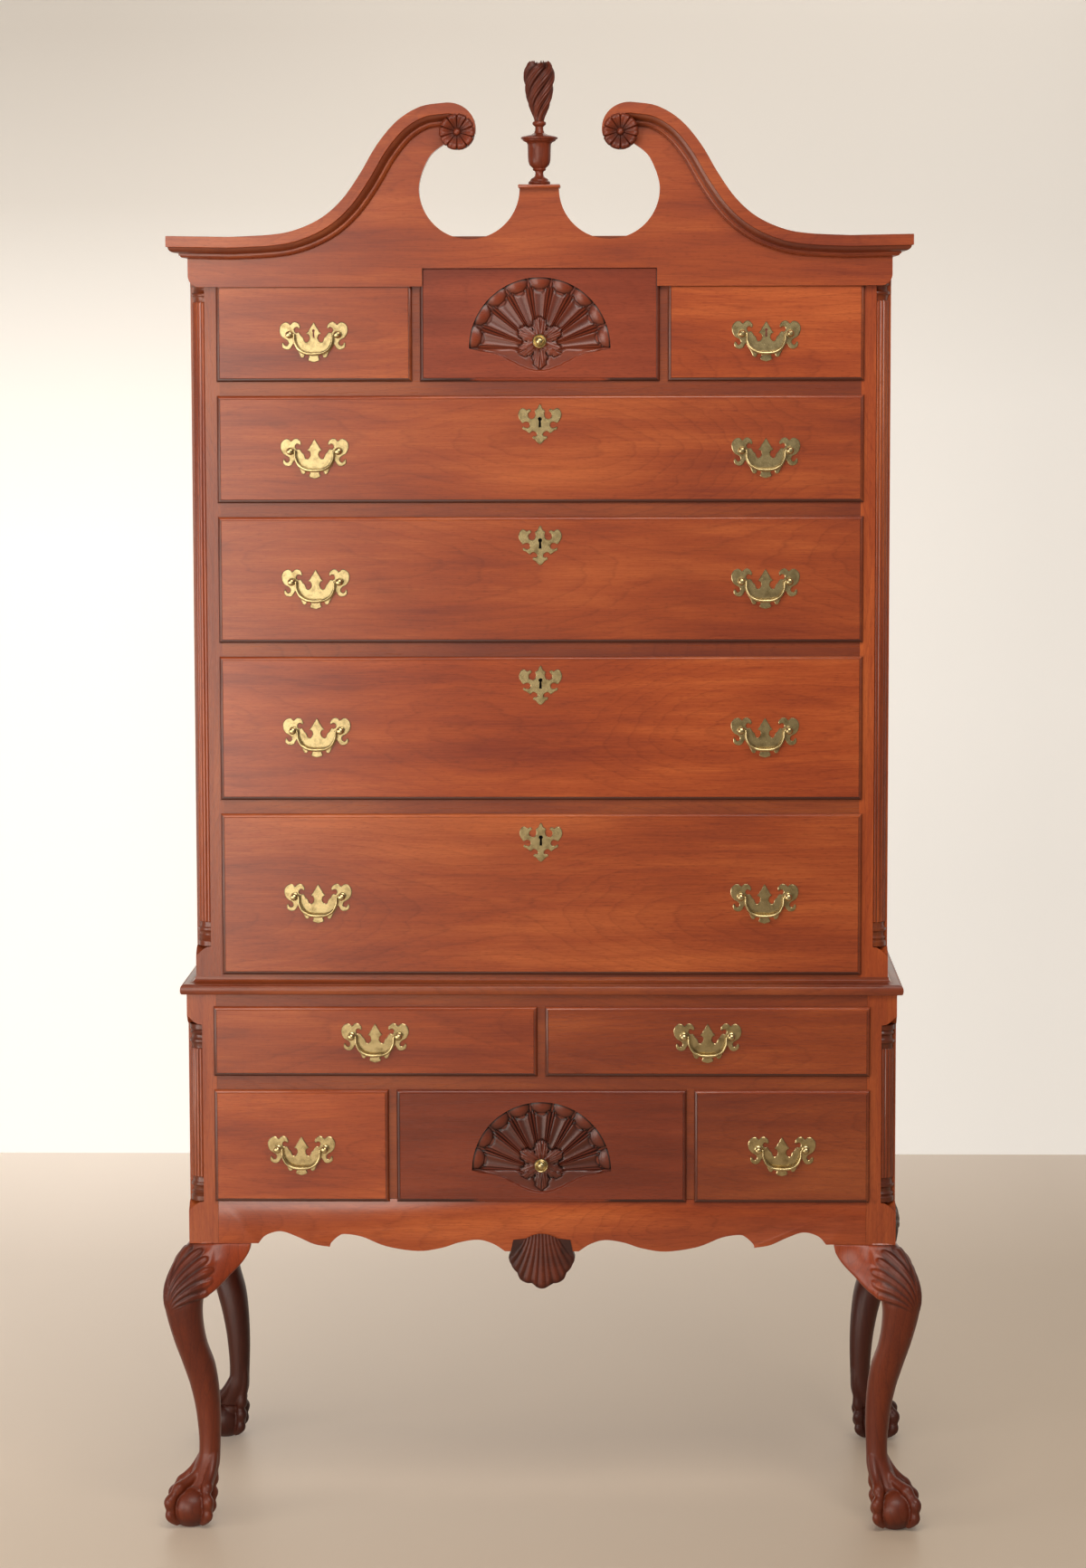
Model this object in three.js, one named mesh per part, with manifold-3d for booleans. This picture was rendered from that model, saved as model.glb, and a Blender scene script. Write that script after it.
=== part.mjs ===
// Highboy: a tall chest on a stand with cabriole legs, twelve drawers and a scrolled pediment.
// Millimetres. X runs to the right, Y to the back and Z up.
// The origin is on the floor, under the middle of the case.

import * as THREE from 'three';
import { mergeVertices } from 'three/addons/utils/BufferGeometryUtils.js';
import Module from 'manifold-3d';

const wasm = await Module();
wasm.setup();

// Driving dimensions

// Cases
const leg_height = 422;
const lower_half_width = 517;
const case_depth = 510;
const upper_inset = 13;
const seat_gap = 0.3;
const overrun = 6;
const join = 2;

// Boards
const post_width = 43;
const side_thickness = 20;
const front_thickness = 20;
const back_thickness = 12;
const rail_depth = 60;
const rail_height = 28;
const partition_thickness = 19.5;
const dustboard_thickness = 13;
const kicker_width = 26;
const guide_height = 12;

// Heights of the openings and of the boards between them, from the bottom up
const apron_height = 67;
const base_row_opening = 158;
const lower_row_opening = 94.5;
const lower_top_rail = 21.5;
const upper_bottom_rail = 31.5;
const long_openings = [228, 200.5, 174, 146];
const top_opening = 131.5;
const centre_rise = 26;
const frieze_height = 72;

// Half widths of the two carved centre drawers' openings
const top_centre_half = 168;
const base_centre_half = 207.3;

// Drawers
const lip_overlap = 4;
const lip_proud = 7;
const lip_round = 4.5;
const drawer_side_play = 1.6;
const drawer_top_play = 2.5;
const drawer_front_thickness = 20;
const drawer_side_thickness = 13;
const drawer_bottom_thickness = 8;
const drawer_bottom_rise = 6;
const drawer_back_room = 58;
const drawer_side_drop = 5;

// Quarter columns in the front corners
const rebate = 22;
const column_radius = 20;
const column_band = 35;
const column_flute_depth = 1.6;
const tongue_height = 14;
const lower_column_foot = 62;
const lower_column_head = 45;
const upper_column_foot = 68;

// Carved shells of the two centre drawers
const shell_radius = 101;
const shell_depth = 8.5;
const shell_rays = 9;
const shell_drop = 36;
const shell_knob_rise = 10.5;

// Legs
const knee_reach = 37;
const knee_relief = 1.8;
const block_reach = 47;
const block_drop = 73;
const block_thickness = 26;
const ball_radius = 33;
const ball_height = 59;
const ball_flat = 3;
const talon_radius = 8;
const foot_offset = 1.7;

// Apron
const apron_drop = 78;
const apron_shell_half_width = 48.6;
const apron_shell_height = 82;
const apron_shell_proud = 5;

// Waist moulding
const waist_moulding_height = 24;
const waist_moulding_nose = 9;

// Cornice, scrolls and pediment
const cornice_height = 40;
const cornice_projection = 28;
const scroll_rise = 190;
const scroll_start_half = 442;
const rosette_half = 116;
const rosette_drop = 43;
const rosette_radius = 26;
const rosette_boss = 5;
const curl_start_angle = 64 * Math.PI / 180;
const curl_end_angle = 186 * Math.PI / 180;
const scroll_opening_radius = 72;
const scroll_opening_half = 100;
const scroll_opening_rise = 67;
const plinth_half_width = 28;
const plinth_cap_height = 5;
const plinth_cap_overhang = 2;
const plinth_cap_depth = 44;

// Finial
const finial_urn_height = 89;
const finial_flame_height = 86;
const finial_flame_radius = 21.6;
const finial_disc_radius = 26.4;
const flame_turns = 0.55;
const flame_lobes = 5;

// Brass
const post_half_spacing = 34.5;
const post_radius = 3.4;
const post_head_radius = 5.2;
const post_head_height = 4.2;
const pivot_standoff = 12;
const plate_half_width = 49;
const plate_rise = 18.4;
const plate_fall = 39.5;
const plate_thickness = 1.6;
const bail_half_width = 27;
const bail_drop = 27.5;
const bail_radius = 1.9;
const escutcheon_half_width = 32;
const escutcheon_half_height = 29.5;
const escutcheon_drop = 41;
const keyhole_radius = 3.4;
const keyhole_length = 13;
const keyhole_depth = 12;
const knob_radius = 10.5;
const knob_length = 22;

// Heights of the pull posts over the middle of their drawers
const pull_rise = -2;
const lower_row_pull_rise = 9.5;
const base_row_pull_rise = -3;

// Counts of facets
const column_round_steps = 7;
const bail_sides = 5;
const post_sides = 6;
const ball_steps = 9;
const ball_rows = 5;
const lathe_steps = 10;
const curve_steps = 12;
const curl_steps = 6;

// Places worked out from the driving dimensions

const upper_half_width = lower_half_width - upper_inset;
const lower_face = -case_depth / 2;
const upper_face = lower_face + upper_inset;
const back_plane = case_depth / 2;
const drawer_depth = case_depth - back_thickness - drawer_back_room;
const lower_opening_half = lower_half_width - post_width;
const upper_opening_half = upper_half_width - post_width;

const base_row_z = leg_height + apron_height;
const base_row_top = base_row_z + base_row_opening;
const lower_row_z = base_row_top + rail_height;
const lower_row_top = lower_row_z + lower_row_opening;
const waist_z = lower_row_top + lower_top_rail;
const upper_z = waist_z + seat_gap;

const long_row_z = [];
let row_z = upper_z + upper_bottom_rail;
for (const opening of long_openings) {
  long_row_z.push(row_z);
  row_z += opening + rail_height;
}
const top_row_z = row_z;
const top_row_top = top_row_z + top_opening;
const cornice_z = top_row_top + frieze_height;
const plinth_z = cornice_z + scroll_opening_rise;
const rosette_z = cornice_z + scroll_rise - rosette_drop;

// Finishes

const woods = {
  walnut: { color: 0x94492e, roughness: 0.42, metalness: 0 },
  carved: { color: 0x6a2d20, roughness: 0.42, metalness: 0 },
  poplar: { color: 0xb79468, roughness: 0.7, metalness: 0 },
  brass: { color: 0xc2a055, roughness: 0.32, metalness: 1 },
};

// Solids and meshes

function outward(positions, index) {
  let volume = 0;
  const corner = [new THREE.Vector3(), new THREE.Vector3(), new THREE.Vector3()];
  for (let i = 0; i < index.length; i += 3) {
    corner.forEach((point, k) => point.fromArray(positions, 3 * index[i + k]));
    volume += corner[0].dot(corner[1].cross(corner[2]));
  }
  if (volume >= 0) return index;
  const turned = [];
  for (let i = 0; i < index.length; i += 3) turned.push(index[i], index[i + 2], index[i + 1]);
  return turned;
}

// A closed three.js geometry, with its shared corners merged, as a solid that can be cut.
function solid(geometry) {
  const bare = new THREE.BufferGeometry();
  bare.setAttribute('position', geometry.getAttribute('position').clone());
  if (geometry.index) bare.setIndex(geometry.index.clone());
  const welded = mergeVertices(bare);
  const kept = [];
  const old = welded.index.array;
  for (let i = 0; i < old.length; i += 3) {
    const [a, b, c] = [old[i], old[i + 1], old[i + 2]];
    if (a !== b && b !== c && c !== a) kept.push(a, b, c);
  }
  const positions = welded.attributes.position.array;
  const turned = outward(positions, kept);
  return new wasm.Manifold(new wasm.Mesh({
    numProp: 3,
    vertProperties: new Float32Array(positions),
    triVerts: new Uint32Array(turned),
  }));
}

function joined(pieces) {
  return pieces.reduce((whole, piece) => whole.add(piece));
}

function geometryOf(cut) {
  const mesh = cut.getMesh();
  const geometry = new THREE.BufferGeometry();
  geometry.setAttribute('position', new THREE.BufferAttribute(new Float32Array(mesh.vertProperties), 3));
  geometry.setIndex(new THREE.BufferAttribute(new Uint32Array(mesh.triVerts), 1));
  geometry.computeVertexNormals();
  return geometry;
}

function boxGeometry(x0, x1, y0, y1, z0, z1) {
  const geometry = new THREE.BoxGeometry(x1 - x0, y1 - y0, z1 - z0);
  return geometry.translate((x0 + x1) / 2, (y0 + y1) / 2, (z0 + z1) / 2);
}

function board(x0, x1, y0, y1, z0, z1) {
  return solid(boxGeometry(x0, x1, y0, y1, z0, z1));
}

// An outline in the front plane, given as [x, z] points, made into a board from y0 back to y1.
function frontBoard(points, y0, y1) {
  const shape = new THREE.Shape(points.map(([x, z]) => new THREE.Vector2(x, z)));
  const geometry = new THREE.ExtrudeGeometry(shape, { depth: y1 - y0, bevelEnabled: false, steps: 1 });
  return solid(geometry.rotateX(Math.PI / 2).translate(0, y1, 0));
}

// An outline in the side plane, given as [y, z] points, made into a board from x0 to x1.
function sideBoard(points, x0, x1) {
  const shape = new THREE.Shape(points.map(([y, z]) => new THREE.Vector2(y, z)));
  const geometry = new THREE.ExtrudeGeometry(shape, { depth: x1 - x0, bevelEnabled: false, steps: 1 });
  geometry.rotateX(Math.PI / 2).rotateZ(Math.PI / 2);
  return solid(geometry.translate(x0, 0, 0));
}

// A closed skin through rings of equal length. The outline, if given, triangulates the two ends.
function loft(rings, outline) {
  const count = rings[0].length;
  const flat = outline ?? rings[0].map((_, i) => {
    const angle = 2 * Math.PI * i / count;
    return new THREE.Vector2(Math.cos(angle), Math.sin(angle));
  });
  const cap = THREE.ShapeUtils.triangulateShape(flat, []);
  const index = [];
  for (let r = 0; r + 1 < rings.length; r++) {
    for (let i = 0; i < count; i++) {
      const a = r * count + i;
      const b = r * count + (i + 1) % count;
      index.push(a, b, b + count, a, b + count, a + count);
    }
  }
  const last = (rings.length - 1) * count;
  for (const [a, b, c] of cap) index.push(c, b, a, last + a, last + b, last + c);
  const geometry = new THREE.BufferGeometry();
  geometry.setAttribute('position', new THREE.Float32BufferAttribute(
    rings.flat().flatMap(point => [point.x, point.y, point.z]), 3));
  geometry.setIndex(index);
  return solid(geometry);
}

// A moulding: its section, in [projection, depth], carried through stations.
function moulding(section, stations) {
  const rings = stations.map(({ origin, out, down, depth }) => section.map(([p, d]) =>
    origin.clone().addScaledVector(out, p).addScaledVector(down, d * depth)));
  return loft(rings, section.map(([p, d]) => new THREE.Vector2(p, d)));
}

// A turned form about an axis that runs to the front, from [radius, distance] points.
function turnedToFront(points, steps) {
  const profile = points.map(([radius, distance]) => new THREE.Vector2(radius, distance));
  return solid(new THREE.LatheGeometry(profile, steps).rotateY(Math.PI / 2).rotateX(Math.PI));
}

// A turned form about an upright axis, from [radius, height] points.
function turnedUpright(points, steps) {
  const profile = points.map(([radius, height]) => new THREE.Vector2(radius, height));
  return solid(new THREE.LatheGeometry(profile, steps).rotateX(Math.PI / 2));
}

function mirrored(points) {
  const other = points.filter(([x]) => x !== 0).map(([x, z]) => [-x, z]).reverse();
  return [...points, ...other];
}

const highboy = new THREE.Group();

function place(name, cut, wood, x = 0, y = 0, z = 0) {
  const mesh = new THREE.Mesh(geometryOf(cut), new THREE.MeshStandardMaterial(woods[wood]));
  mesh.name = name;
  mesh.position.set(x, y, z);
  highboy.add(mesh);
}

// Quarter columns: a rebate with lamb's-tongue ends, and a reeded shaft between turned bands

// Each point is a share of the rebate, in from the corner, and a share of the tongue's height.
const tongue_shares = [[1, 0], [0.69, 0.08], [0.44, 0.33], [0.19, 0.71], [0, 1]];

// Each band ring is a share of the band's height and a share of the column's radius.
const band_shares = [[0, 1], [0.28, 1], [0.34, 0.86], [0.58, 0.86], [0.64, 0.98]];
const shaft_share = 0.93;

function tongueOutline(corner, outside, inside, z0, z1) {
  const side = Math.sign(outside - inside);
  const top = tongue_shares.map(([u, v]) => [outside - side * u * rebate, z1 + v * tongue_height]);
  const bottom = tongue_shares.map(([u, v]) => [outside - side * u * rebate, z0 - v * tongue_height]);
  bottom.reverse();
  const reach = outside + side * corner;
  return [...top, [reach, z1 + tongue_height], [reach, z0 - tongue_height], ...bottom];
}

// The cut for a column in the corner at x = side * half_width and y = face.
function columnRebate(side, half_width, face, z0, z1) {
  const x = side * half_width;
  const front = frontBoard(tongueOutline(overrun, x, 0, z0, z1), face - overrun, face + rebate);
  const across = tongueOutline(overrun, face, back_plane, z0, z1);
  const flank = sideBoard(across, Math.min(x - side * rebate, x + side * overrun),
    Math.max(x - side * rebate, x + side * overrun));
  return front.intersect(flank);
}

function quarterColumn(side, half_width, face, z0, z1) {
  const centre = new THREE.Vector2(side * (half_width - rebate), face + rebate);
  const middle = Math.atan2(-1, side);
  const angles = [];
  for (let i = 0; i < column_round_steps; i++) {
    angles.push(middle + (i / (column_round_steps - 1) - 0.5) * Math.PI / 2);
  }
  angles.push(middle + Math.PI);
  const ring = (z, share, flute) => angles.map((angle, i) => {
    const valley = flute && i % 2 === 1 && i < column_round_steps ? column_flute_depth : 0;
    const radius = column_radius * share - valley;
    return new THREE.Vector3(
      centre.x + radius * Math.cos(angle), centre.y + radius * Math.sin(angle), z);
  });
  const rings = band_shares.map(([v, share]) => ring(z0 + v * column_band, share, false));
  rings.push(ring(z0 + column_band, shaft_share, true));
  rings.push(ring(z1 - column_band, shaft_share, true));
  for (const [v, share] of [...band_shares].reverse()) rings.push(ring(z1 - v * column_band, share, false));
  return loft(rings);
}

// Webs between the drawers: a rail at the front, a dustboard behind it, kickers and guides

function web(opening_half, side_inner, face, z1, height, partitions) {
  const back = back_plane - back_thickness - 2 * seat_gap;
  const behind = face + post_width + seat_gap;
  const pieces = [
    board(-opening_half, opening_half, face, face + rail_depth, z1 - height, z1),
    board(-side_inner, side_inner, behind, back, z1 - dustboard_thickness, z1),
  ];
  for (const side of [-1, 1]) {
    const outer = side * (side_inner + join);
    const kicker = side * (opening_half - kicker_width);
    pieces.push(board(Math.min(kicker, outer), Math.max(kicker, outer), behind, back, z1 - height, z1));
    if (partitions) {
      const guide = side * opening_half;
      pieces.push(board(Math.min(guide, outer), Math.max(guide, outer),
        behind, back, z1 - join, z1 + guide_height));
    }
  }
  for (const [x, rise] of partitions ?? []) {
    const x0 = x - partition_thickness / 2;
    const x1 = x + partition_thickness / 2;
    pieces.push(board(x0, x1, face, face + rail_depth, z1 - join, z1 + rise));
    pieces.push(board(x0, x1, face + rail_depth - join, back, z1 - join, z1 + guide_height));
  }
  return pieces;
}

// Upper case

const top_partition = top_centre_half + partition_thickness / 2;
const upper_column_z = upper_z + upper_column_foot;
const upper_side_inner = upper_half_width - side_thickness;

function upperCarcass() {
  const pieces = [];
  const board_back = upper_face + front_thickness + seat_gap;
  const roof = back_plane - back_thickness - 2 * seat_gap;
  for (const side of [-1, 1]) {
    const [x0, x1] = [side * upper_side_inner, side * upper_half_width].sort((a, b) => a - b);
    const [p0, p1] = [side * upper_opening_half, side * upper_half_width].sort((a, b) => a - b);
    pieces.push(board(x0, x1, board_back, back_plane, upper_z, cornice_z));
    pieces.push(board(p0, p1, upper_face, upper_face + post_width, upper_z, top_row_top - seat_gap));
  }
  pieces.push(...web(upper_opening_half, upper_side_inner, upper_face,
    upper_z + upper_bottom_rail, upper_bottom_rail, []));
  for (const z of long_row_z.slice(1)) {
    pieces.push(...web(upper_opening_half, upper_side_inner, upper_face, z, rail_height, []));
  }
  const rise = top_opening - seat_gap;
  pieces.push(...web(upper_opening_half, upper_side_inner, upper_face, top_row_z, rail_height,
    [[-top_partition, rise], [top_partition, rise]]));
  pieces.push(board(-upper_side_inner - join, upper_side_inner + join, board_back, roof,
    cornice_z - side_thickness, cornice_z));
  let whole = joined(pieces);
  for (const side of [-1, 1]) {
    whole = whole
      .subtract(columnRebate(side, upper_half_width, upper_face, upper_column_z, top_row_top))
      .add(quarterColumn(side, upper_half_width, upper_face, upper_column_z, top_row_top - seat_gap));
  }
  return whole;
}

function upperBack() {
  const half = upper_side_inner - seat_gap;
  return board(-half, half, back_plane - back_thickness - seat_gap, back_plane - seat_gap,
    upper_z, cornice_z);
}

// Scrolled pediment

// Each point is a share of the run from the rosette to the start, and a share of the rise.
const scroll_shares = [[1, 0], [0.813, 0.026], [0.702, 0.063], [0.592, 0.158], [0.503, 0.3],
  [0.426, 0.489], [0.35, 0.716], [0.261, 0.884], [0.172, 0.979]];
const curl_widening_share = 0.84;
const curl_power = 1.6;

// The top edge of the scroll on the right, as points with the direction that the moulding hangs in.
function scrollEdge() {
  const run = scroll_start_half - rosette_half;
  const places = scroll_shares.map(([u, v]) =>
    new THREE.Vector3(rosette_half + u * run, 0, cornice_z + v * scroll_rise));
  const curl = [];
  for (let i = 0; i <= curl_steps; i++) {
    const t = i / curl_steps;
    const angle = curl_start_angle + t * (curl_end_angle - curl_start_angle);
    const radius = rosette_radius * (1 + curl_widening_share * (1 - t) ** curl_power);
    curl.push(new THREE.Vector3(
      rosette_half + radius * Math.cos(angle), 0, rosette_z + radius * Math.sin(angle)));
  }
  const rise = new THREE.CatmullRomCurve3([...places, curl[0]]).getSpacedPoints(curve_steps);
  const edge = [...rise, ...curl.slice(1)];
  return edge.map((point, i) => {
    const before = edge[Math.max(i - 1, 0)];
    const after = edge[Math.min(i + 1, edge.length - 1)];
    const along = i === 0 ? new THREE.Vector3(-1, 0, 0) : after.clone().sub(before).normalize();
    return { point, down: new THREE.Vector3(-along.z, 0, along.x) };
  });
}

const scroll_edge = scrollEdge();

// Each point is a share of the projection and a share of the moulding's height.
const cornice_shares = [[0, 0], [1, 0], [1, 0.37], [0.84, 0.5], [0.63, 0.62], [0.44, 0.66],
  [0.38, 0.74], [0.2, 0.84], [0.06, 0.98], [0, 1]];
const curl_core_share = 0.25;

function scrollMoulding(side) {
  const section = cornice_shares.map(([p, d]) => [p * cornice_projection, d * cornice_height]);
  const face = upper_face - seat_gap;
  const flank = side * (upper_half_width + seat_gap);
  const level = new THREE.Vector3(0, 0, -1);
  const stations = [
    { origin: new THREE.Vector3(flank, back_plane, cornice_z), out: new THREE.Vector3(side, 0, 0),
      down: level, depth: 1 },
    { origin: new THREE.Vector3(flank, face, cornice_z), out: new THREE.Vector3(side, -1, 0),
      down: level, depth: 1 },
  ];
  const centre = new THREE.Vector3(rosette_half, 0, rosette_z);
  for (const { point, down } of scroll_edge) {
    const room = point.distanceTo(centre) - curl_core_share * rosette_radius;
    stations.push({
      origin: new THREE.Vector3(side * point.x, face, point.z),
      out: new THREE.Vector3(0, -1, 0),
      down: new THREE.Vector3(side * down.x, 0, down.z),
      depth: Math.min(1, room / cornice_height),
    });
  }
  const flower = rosette(side);
  return moulding(section, stations).add(flower);
}

// Each ring is a share of the rosette's radius, a share of its proudness, and how deep its lobes are.
const rosette_ring_shares = [[0.98, 0, 0], [1, 0.75, 0.05], [0.78, 0.98, 0.08], [0.3, 0.8, 0],
  [0.16, 1.04, 0]];
const rosette_petals = 10;

function rosette(side) {
  const proud = cornice_projection + rosette_boss;
  const count = 2 * rosette_petals;
  const rings = rosette_ring_shares.map(([radius, height, lobe]) => {
    const points = [];
    for (let i = 0; i < count; i++) {
      const angle = 2 * Math.PI * i / count;
      const reach = rosette_radius * (radius - (i % 2) * lobe);
      points.push(new THREE.Vector3(
        side * rosette_half + reach * Math.cos(angle),
        upper_face - seat_gap - height * proud,
        rosette_z + reach * Math.sin(angle)));
    }
    return points;
  });
  return loft(rings);
}

function arcPoints(x, z, radius, start, end, steps) {
  const points = [];
  for (let i = 0; i <= steps; i++) {
    const angle = start + (end - start) * i / steps;
    points.push([x + radius * Math.cos(angle), z + radius * Math.sin(angle)]);
  }
  return points;
}

// The board's edge under the rosette, and the narrow throat between it and the round opening below.
const rosette_backing_share = 0.92;
const rosette_backing_end = 320 * Math.PI / 180;
const throat_width_share = 0.8;
const throat_height_share = 0.55;
const backing_steps = 5;
const bowl_steps = 11;

function pedimentBoard() {
  const right = [
    [0, top_row_top + centre_rise],
    [top_centre_half, top_row_top + centre_rise],
    [top_centre_half, top_row_top],
    [upper_half_width, top_row_top],
    [upper_half_width, cornice_z],
  ];
  const edge = scroll_edge.slice(0, -2).map(({ point }) => [point.x, point.z]);
  const under = arcPoints(rosette_half, rosette_z, rosette_radius * rosette_backing_share,
    Math.PI, rosette_backing_end, backing_steps);
  const throat = [
    scroll_opening_half + scroll_opening_radius * throat_width_share,
    plinth_z + (rosette_z - plinth_z) * throat_height_share,
  ];
  const bowl = arcPoints(scroll_opening_half, plinth_z, scroll_opening_radius, 0, -Math.PI, bowl_steps);
  const outline = [...right, ...edge, ...under, throat, ...bowl];
  outline.push([plinth_half_width, plinth_z + seat_gap], [0, plinth_z + seat_gap]);
  const sheet = frontBoard(mirrored(outline), upper_face, upper_face + front_thickness);
  const middle = upper_face + front_thickness / 2;
  const cap_half = plinth_half_width + plinth_cap_overhang;
  const cap = board(-cap_half, cap_half, middle - plinth_cap_depth / 2, middle + plinth_cap_depth / 2,
    plinth_z, plinth_z + plinth_cap_height);
  const cuts = [-1, 1].map(side =>
    columnRebate(side, upper_half_width, upper_face, upper_column_z, top_row_top));
  return cuts.reduce((rest, cut) => rest.subtract(cut), sheet.add(cap));
}

// Finial: a turned urn that carries a twisted flame

// Each point is a share of the disc's radius and a share of the urn's height.
const urn_shares = [[0, 0], [0.59, 0], [0.59, 0.06], [0.24, 0.13], [0.22, 0.2], [0.5, 0.27],
  [0.63, 0.42], [0.61, 0.68], [1, 0.71], [1, 0.78], [0.24, 0.82], [0.22, 0.92], [0.37, 0.96],
  [0.37, 1], [0, 1.03]];

// Each ring is a share of the flame's height and a share of its widest radius.
const flame_shares = [[0, 0.34], [0.12, 0.54], [0.3, 0.76], [0.5, 0.89], [0.72, 1], [0.9, 0.9],
  [1, 0.66]];
const flame_groove_share = 0.16;

function finial() {
  const base = plinth_cap_height + seat_gap;
  const urn = turnedUpright(urn_shares.map(([r, h]) => [r * finial_disc_radius, h * finial_urn_height]),
    lathe_steps);
  const count = 2 * flame_lobes;
  const rings = flame_shares.map(([v, share]) => {
    const points = [];
    for (let i = 0; i < count; i++) {
      const angle = 2 * Math.PI * (i / count + v * flame_turns);
      const reach = finial_flame_radius * share * (1 - (i % 2) * flame_groove_share);
      points.push(new THREE.Vector3(reach * Math.cos(angle), reach * Math.sin(angle),
        finial_urn_height + v * finial_flame_height));
    }
    return points;
  });
  place('finial', urn.add(loft(rings)), 'carved',
    0, upper_face + front_thickness / 2, plinth_z + base);
}

// Waist moulding, round the foot of the upper case on three sides

// Each point is a share of the projection and a share of the height, from the bottom.
const waist_shares = [[0, 0], [0.86, 0], [0.97, 0.08], [1, 0.2], [0.96, 0.34], [0.86, 0.42],
  [0.68, 0.46], [0.58, 0.52], [0.42, 0.62], [0.26, 0.78], [0.18, 0.9], [0.16, 1], [0, 1]];

function waistMoulding() {
  const projection = upper_inset + waist_moulding_nose - seat_gap;
  const section = waist_shares.map(([p, h]) => [p * projection, h * waist_moulding_height]);
  const half = upper_half_width + seat_gap;
  const face = upper_face - seat_gap;
  const run = [
    [-half, back_plane, -1, 0], [-half, face, -1, -1], [half, face, 1, -1], [half, back_plane, 1, 0]];
  return moulding(section, run.map(([x, y, out_x, out_y]) => ({
    origin: new THREE.Vector3(x, y, upper_z),
    out: new THREE.Vector3(out_x, out_y, 0),
    down: new THREE.Vector3(0, 0, 1),
    depth: 1,
  })));
}

// Lower case

const lower_side_inner = lower_half_width - side_thickness;
const base_partition = base_centre_half + partition_thickness / 2;

// Each point is a share of the side board's half length and a share of the apron's drop.
const side_skirt_shares = [[1, 0.859], [0.74, 0.859], [0.68, 0.72], [0.58, 0.64], [0.46, 0.7],
  [0.32, 0.86], [0.16, 0.96], [0, 1]];

function lowerCarcass() {
  const top = waist_z - seat_gap;
  const pieces = [];
  const reach = case_depth / 2 - post_width - seat_gap;
  const skirt = side_skirt_shares.map(([u, v]) => [u * reach, base_row_z - v * apron_drop]);
  const flank = mirrored([...skirt].reverse().concat([[reach, top]]));
  for (const side of [-1, 1]) {
    const [x0, x1] = [side * lower_side_inner, side * lower_half_width].sort((a, b) => a - b);
    pieces.push(sideBoard(flank, x0, x1));
  }
  const rail_half = lower_opening_half - seat_gap;
  const rise = lower_row_opening + join;
  pieces.push(...web(rail_half, lower_side_inner, lower_face, top, top - lower_row_top, null));
  pieces.push(...web(rail_half, lower_side_inner, lower_face, lower_row_z, rail_height, [[0, rise]]));
  const apron_back = lower_face + front_thickness + seat_gap;
  const floor = web(rail_half, lower_side_inner, apron_back, base_row_z, rail_height, []);
  pieces.push(...floor);
  const base_rise = base_row_opening + join;
  for (const x of [-base_partition, base_partition]) {
    const x0 = x - partition_thickness / 2;
    const x1 = x + partition_thickness / 2;
    const behind = apron_back + rail_depth - join;
    pieces.push(board(x0, x1, lower_face, behind, base_row_z + seat_gap, base_row_z + base_rise));
    pieces.push(board(x0, x1, apron_back, back_plane - back_thickness - 2 * seat_gap,
      base_row_z - join, base_row_z + guide_height));
  }
  const cuts = [];
  for (const side of [-1, 1]) {
    for (const end of [-1, 1]) cuts.push(postRoom(side, end));
  }
  return cuts.reduce((rest, cut) => rest.subtract(cut), joined(pieces));
}

// The room that a corner post takes in the lower case, with its clearance.
function postRoom(side, end) {
  const x = [lower_opening_half - seat_gap, lower_half_width + overrun].map(value => side * value);
  const y = [case_depth / 2 - post_width - seat_gap, case_depth / 2 + overrun].map(value => end * value);
  x.sort((a, b) => a - b);
  y.sort((a, b) => a - b);
  return board(...x, ...y, 0, cornice_z);
}

function lowerBack() {
  const half = lower_opening_half - seat_gap;
  return board(-half, half, back_plane - back_thickness - seat_gap, back_plane - seat_gap,
    leg_height + seat_gap, waist_z - seat_gap);
}

// Each point is a share of the opening's half width and a share of the drop below the drawers.
const apron_shares = [[1, 0.859], [0.877, 0.859], [0.854, 0.705], [0.808, 0.628], [0.757, 0.73],
  [0.705, 0.872], [0.656, 0.923], [0.652, 0.846], [0.629, 0.718], [0.608, 0.679], [0.555, 0.731],
  [0.481, 0.91], [0.383, 1], [0.308, 0.936], [0.255, 0.833], [0.196, 0.782], [0.15, 0.859],
  [0.114, 1.02]];

// Each point is a share of the shell's half width and a share of its height, down from the top.
const apron_shell_shares = [[0, 0], [0.35, 0.02], [0.62, 0.1], [0.85, 0.11], [0.86, 0.28], [1, 0.44],
  [0.93, 0.6], [0.79, 0.67], [0.76, 0.8], [0.57, 0.87], [0.36, 0.86], [0.25, 0.94], [0, 1]];

const apron_shell_top_share = 0.654;

function apron() {
  const half = lower_opening_half - seat_gap;
  const edge = apron_shares.map(([u, v]) => [u * half, base_row_z - v * apron_drop]);
  const outline = mirrored([[half, base_row_z], ...edge]);
  const sheet = frontBoard(outline, lower_face, lower_face + front_thickness);
  const shell_top = base_row_z - apron_drop * apron_shell_top_share;
  const fan = apron_shell_shares.map(([u, v]) =>
    [u * apron_shell_half_width, shell_top - v * apron_shell_height]);
  const pendant = frontBoard(mirrored(fan), lower_face - apron_shell_proud, lower_face + front_thickness);
  return sheet.add(pendant);
}

// Cabriole legs, each one piece with the corner post of the case, its knee blocks and its foot

// The shaft ends inside the top of the ball, at this share of the ball's height.
const leg_sink_share = 0.93;

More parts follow.
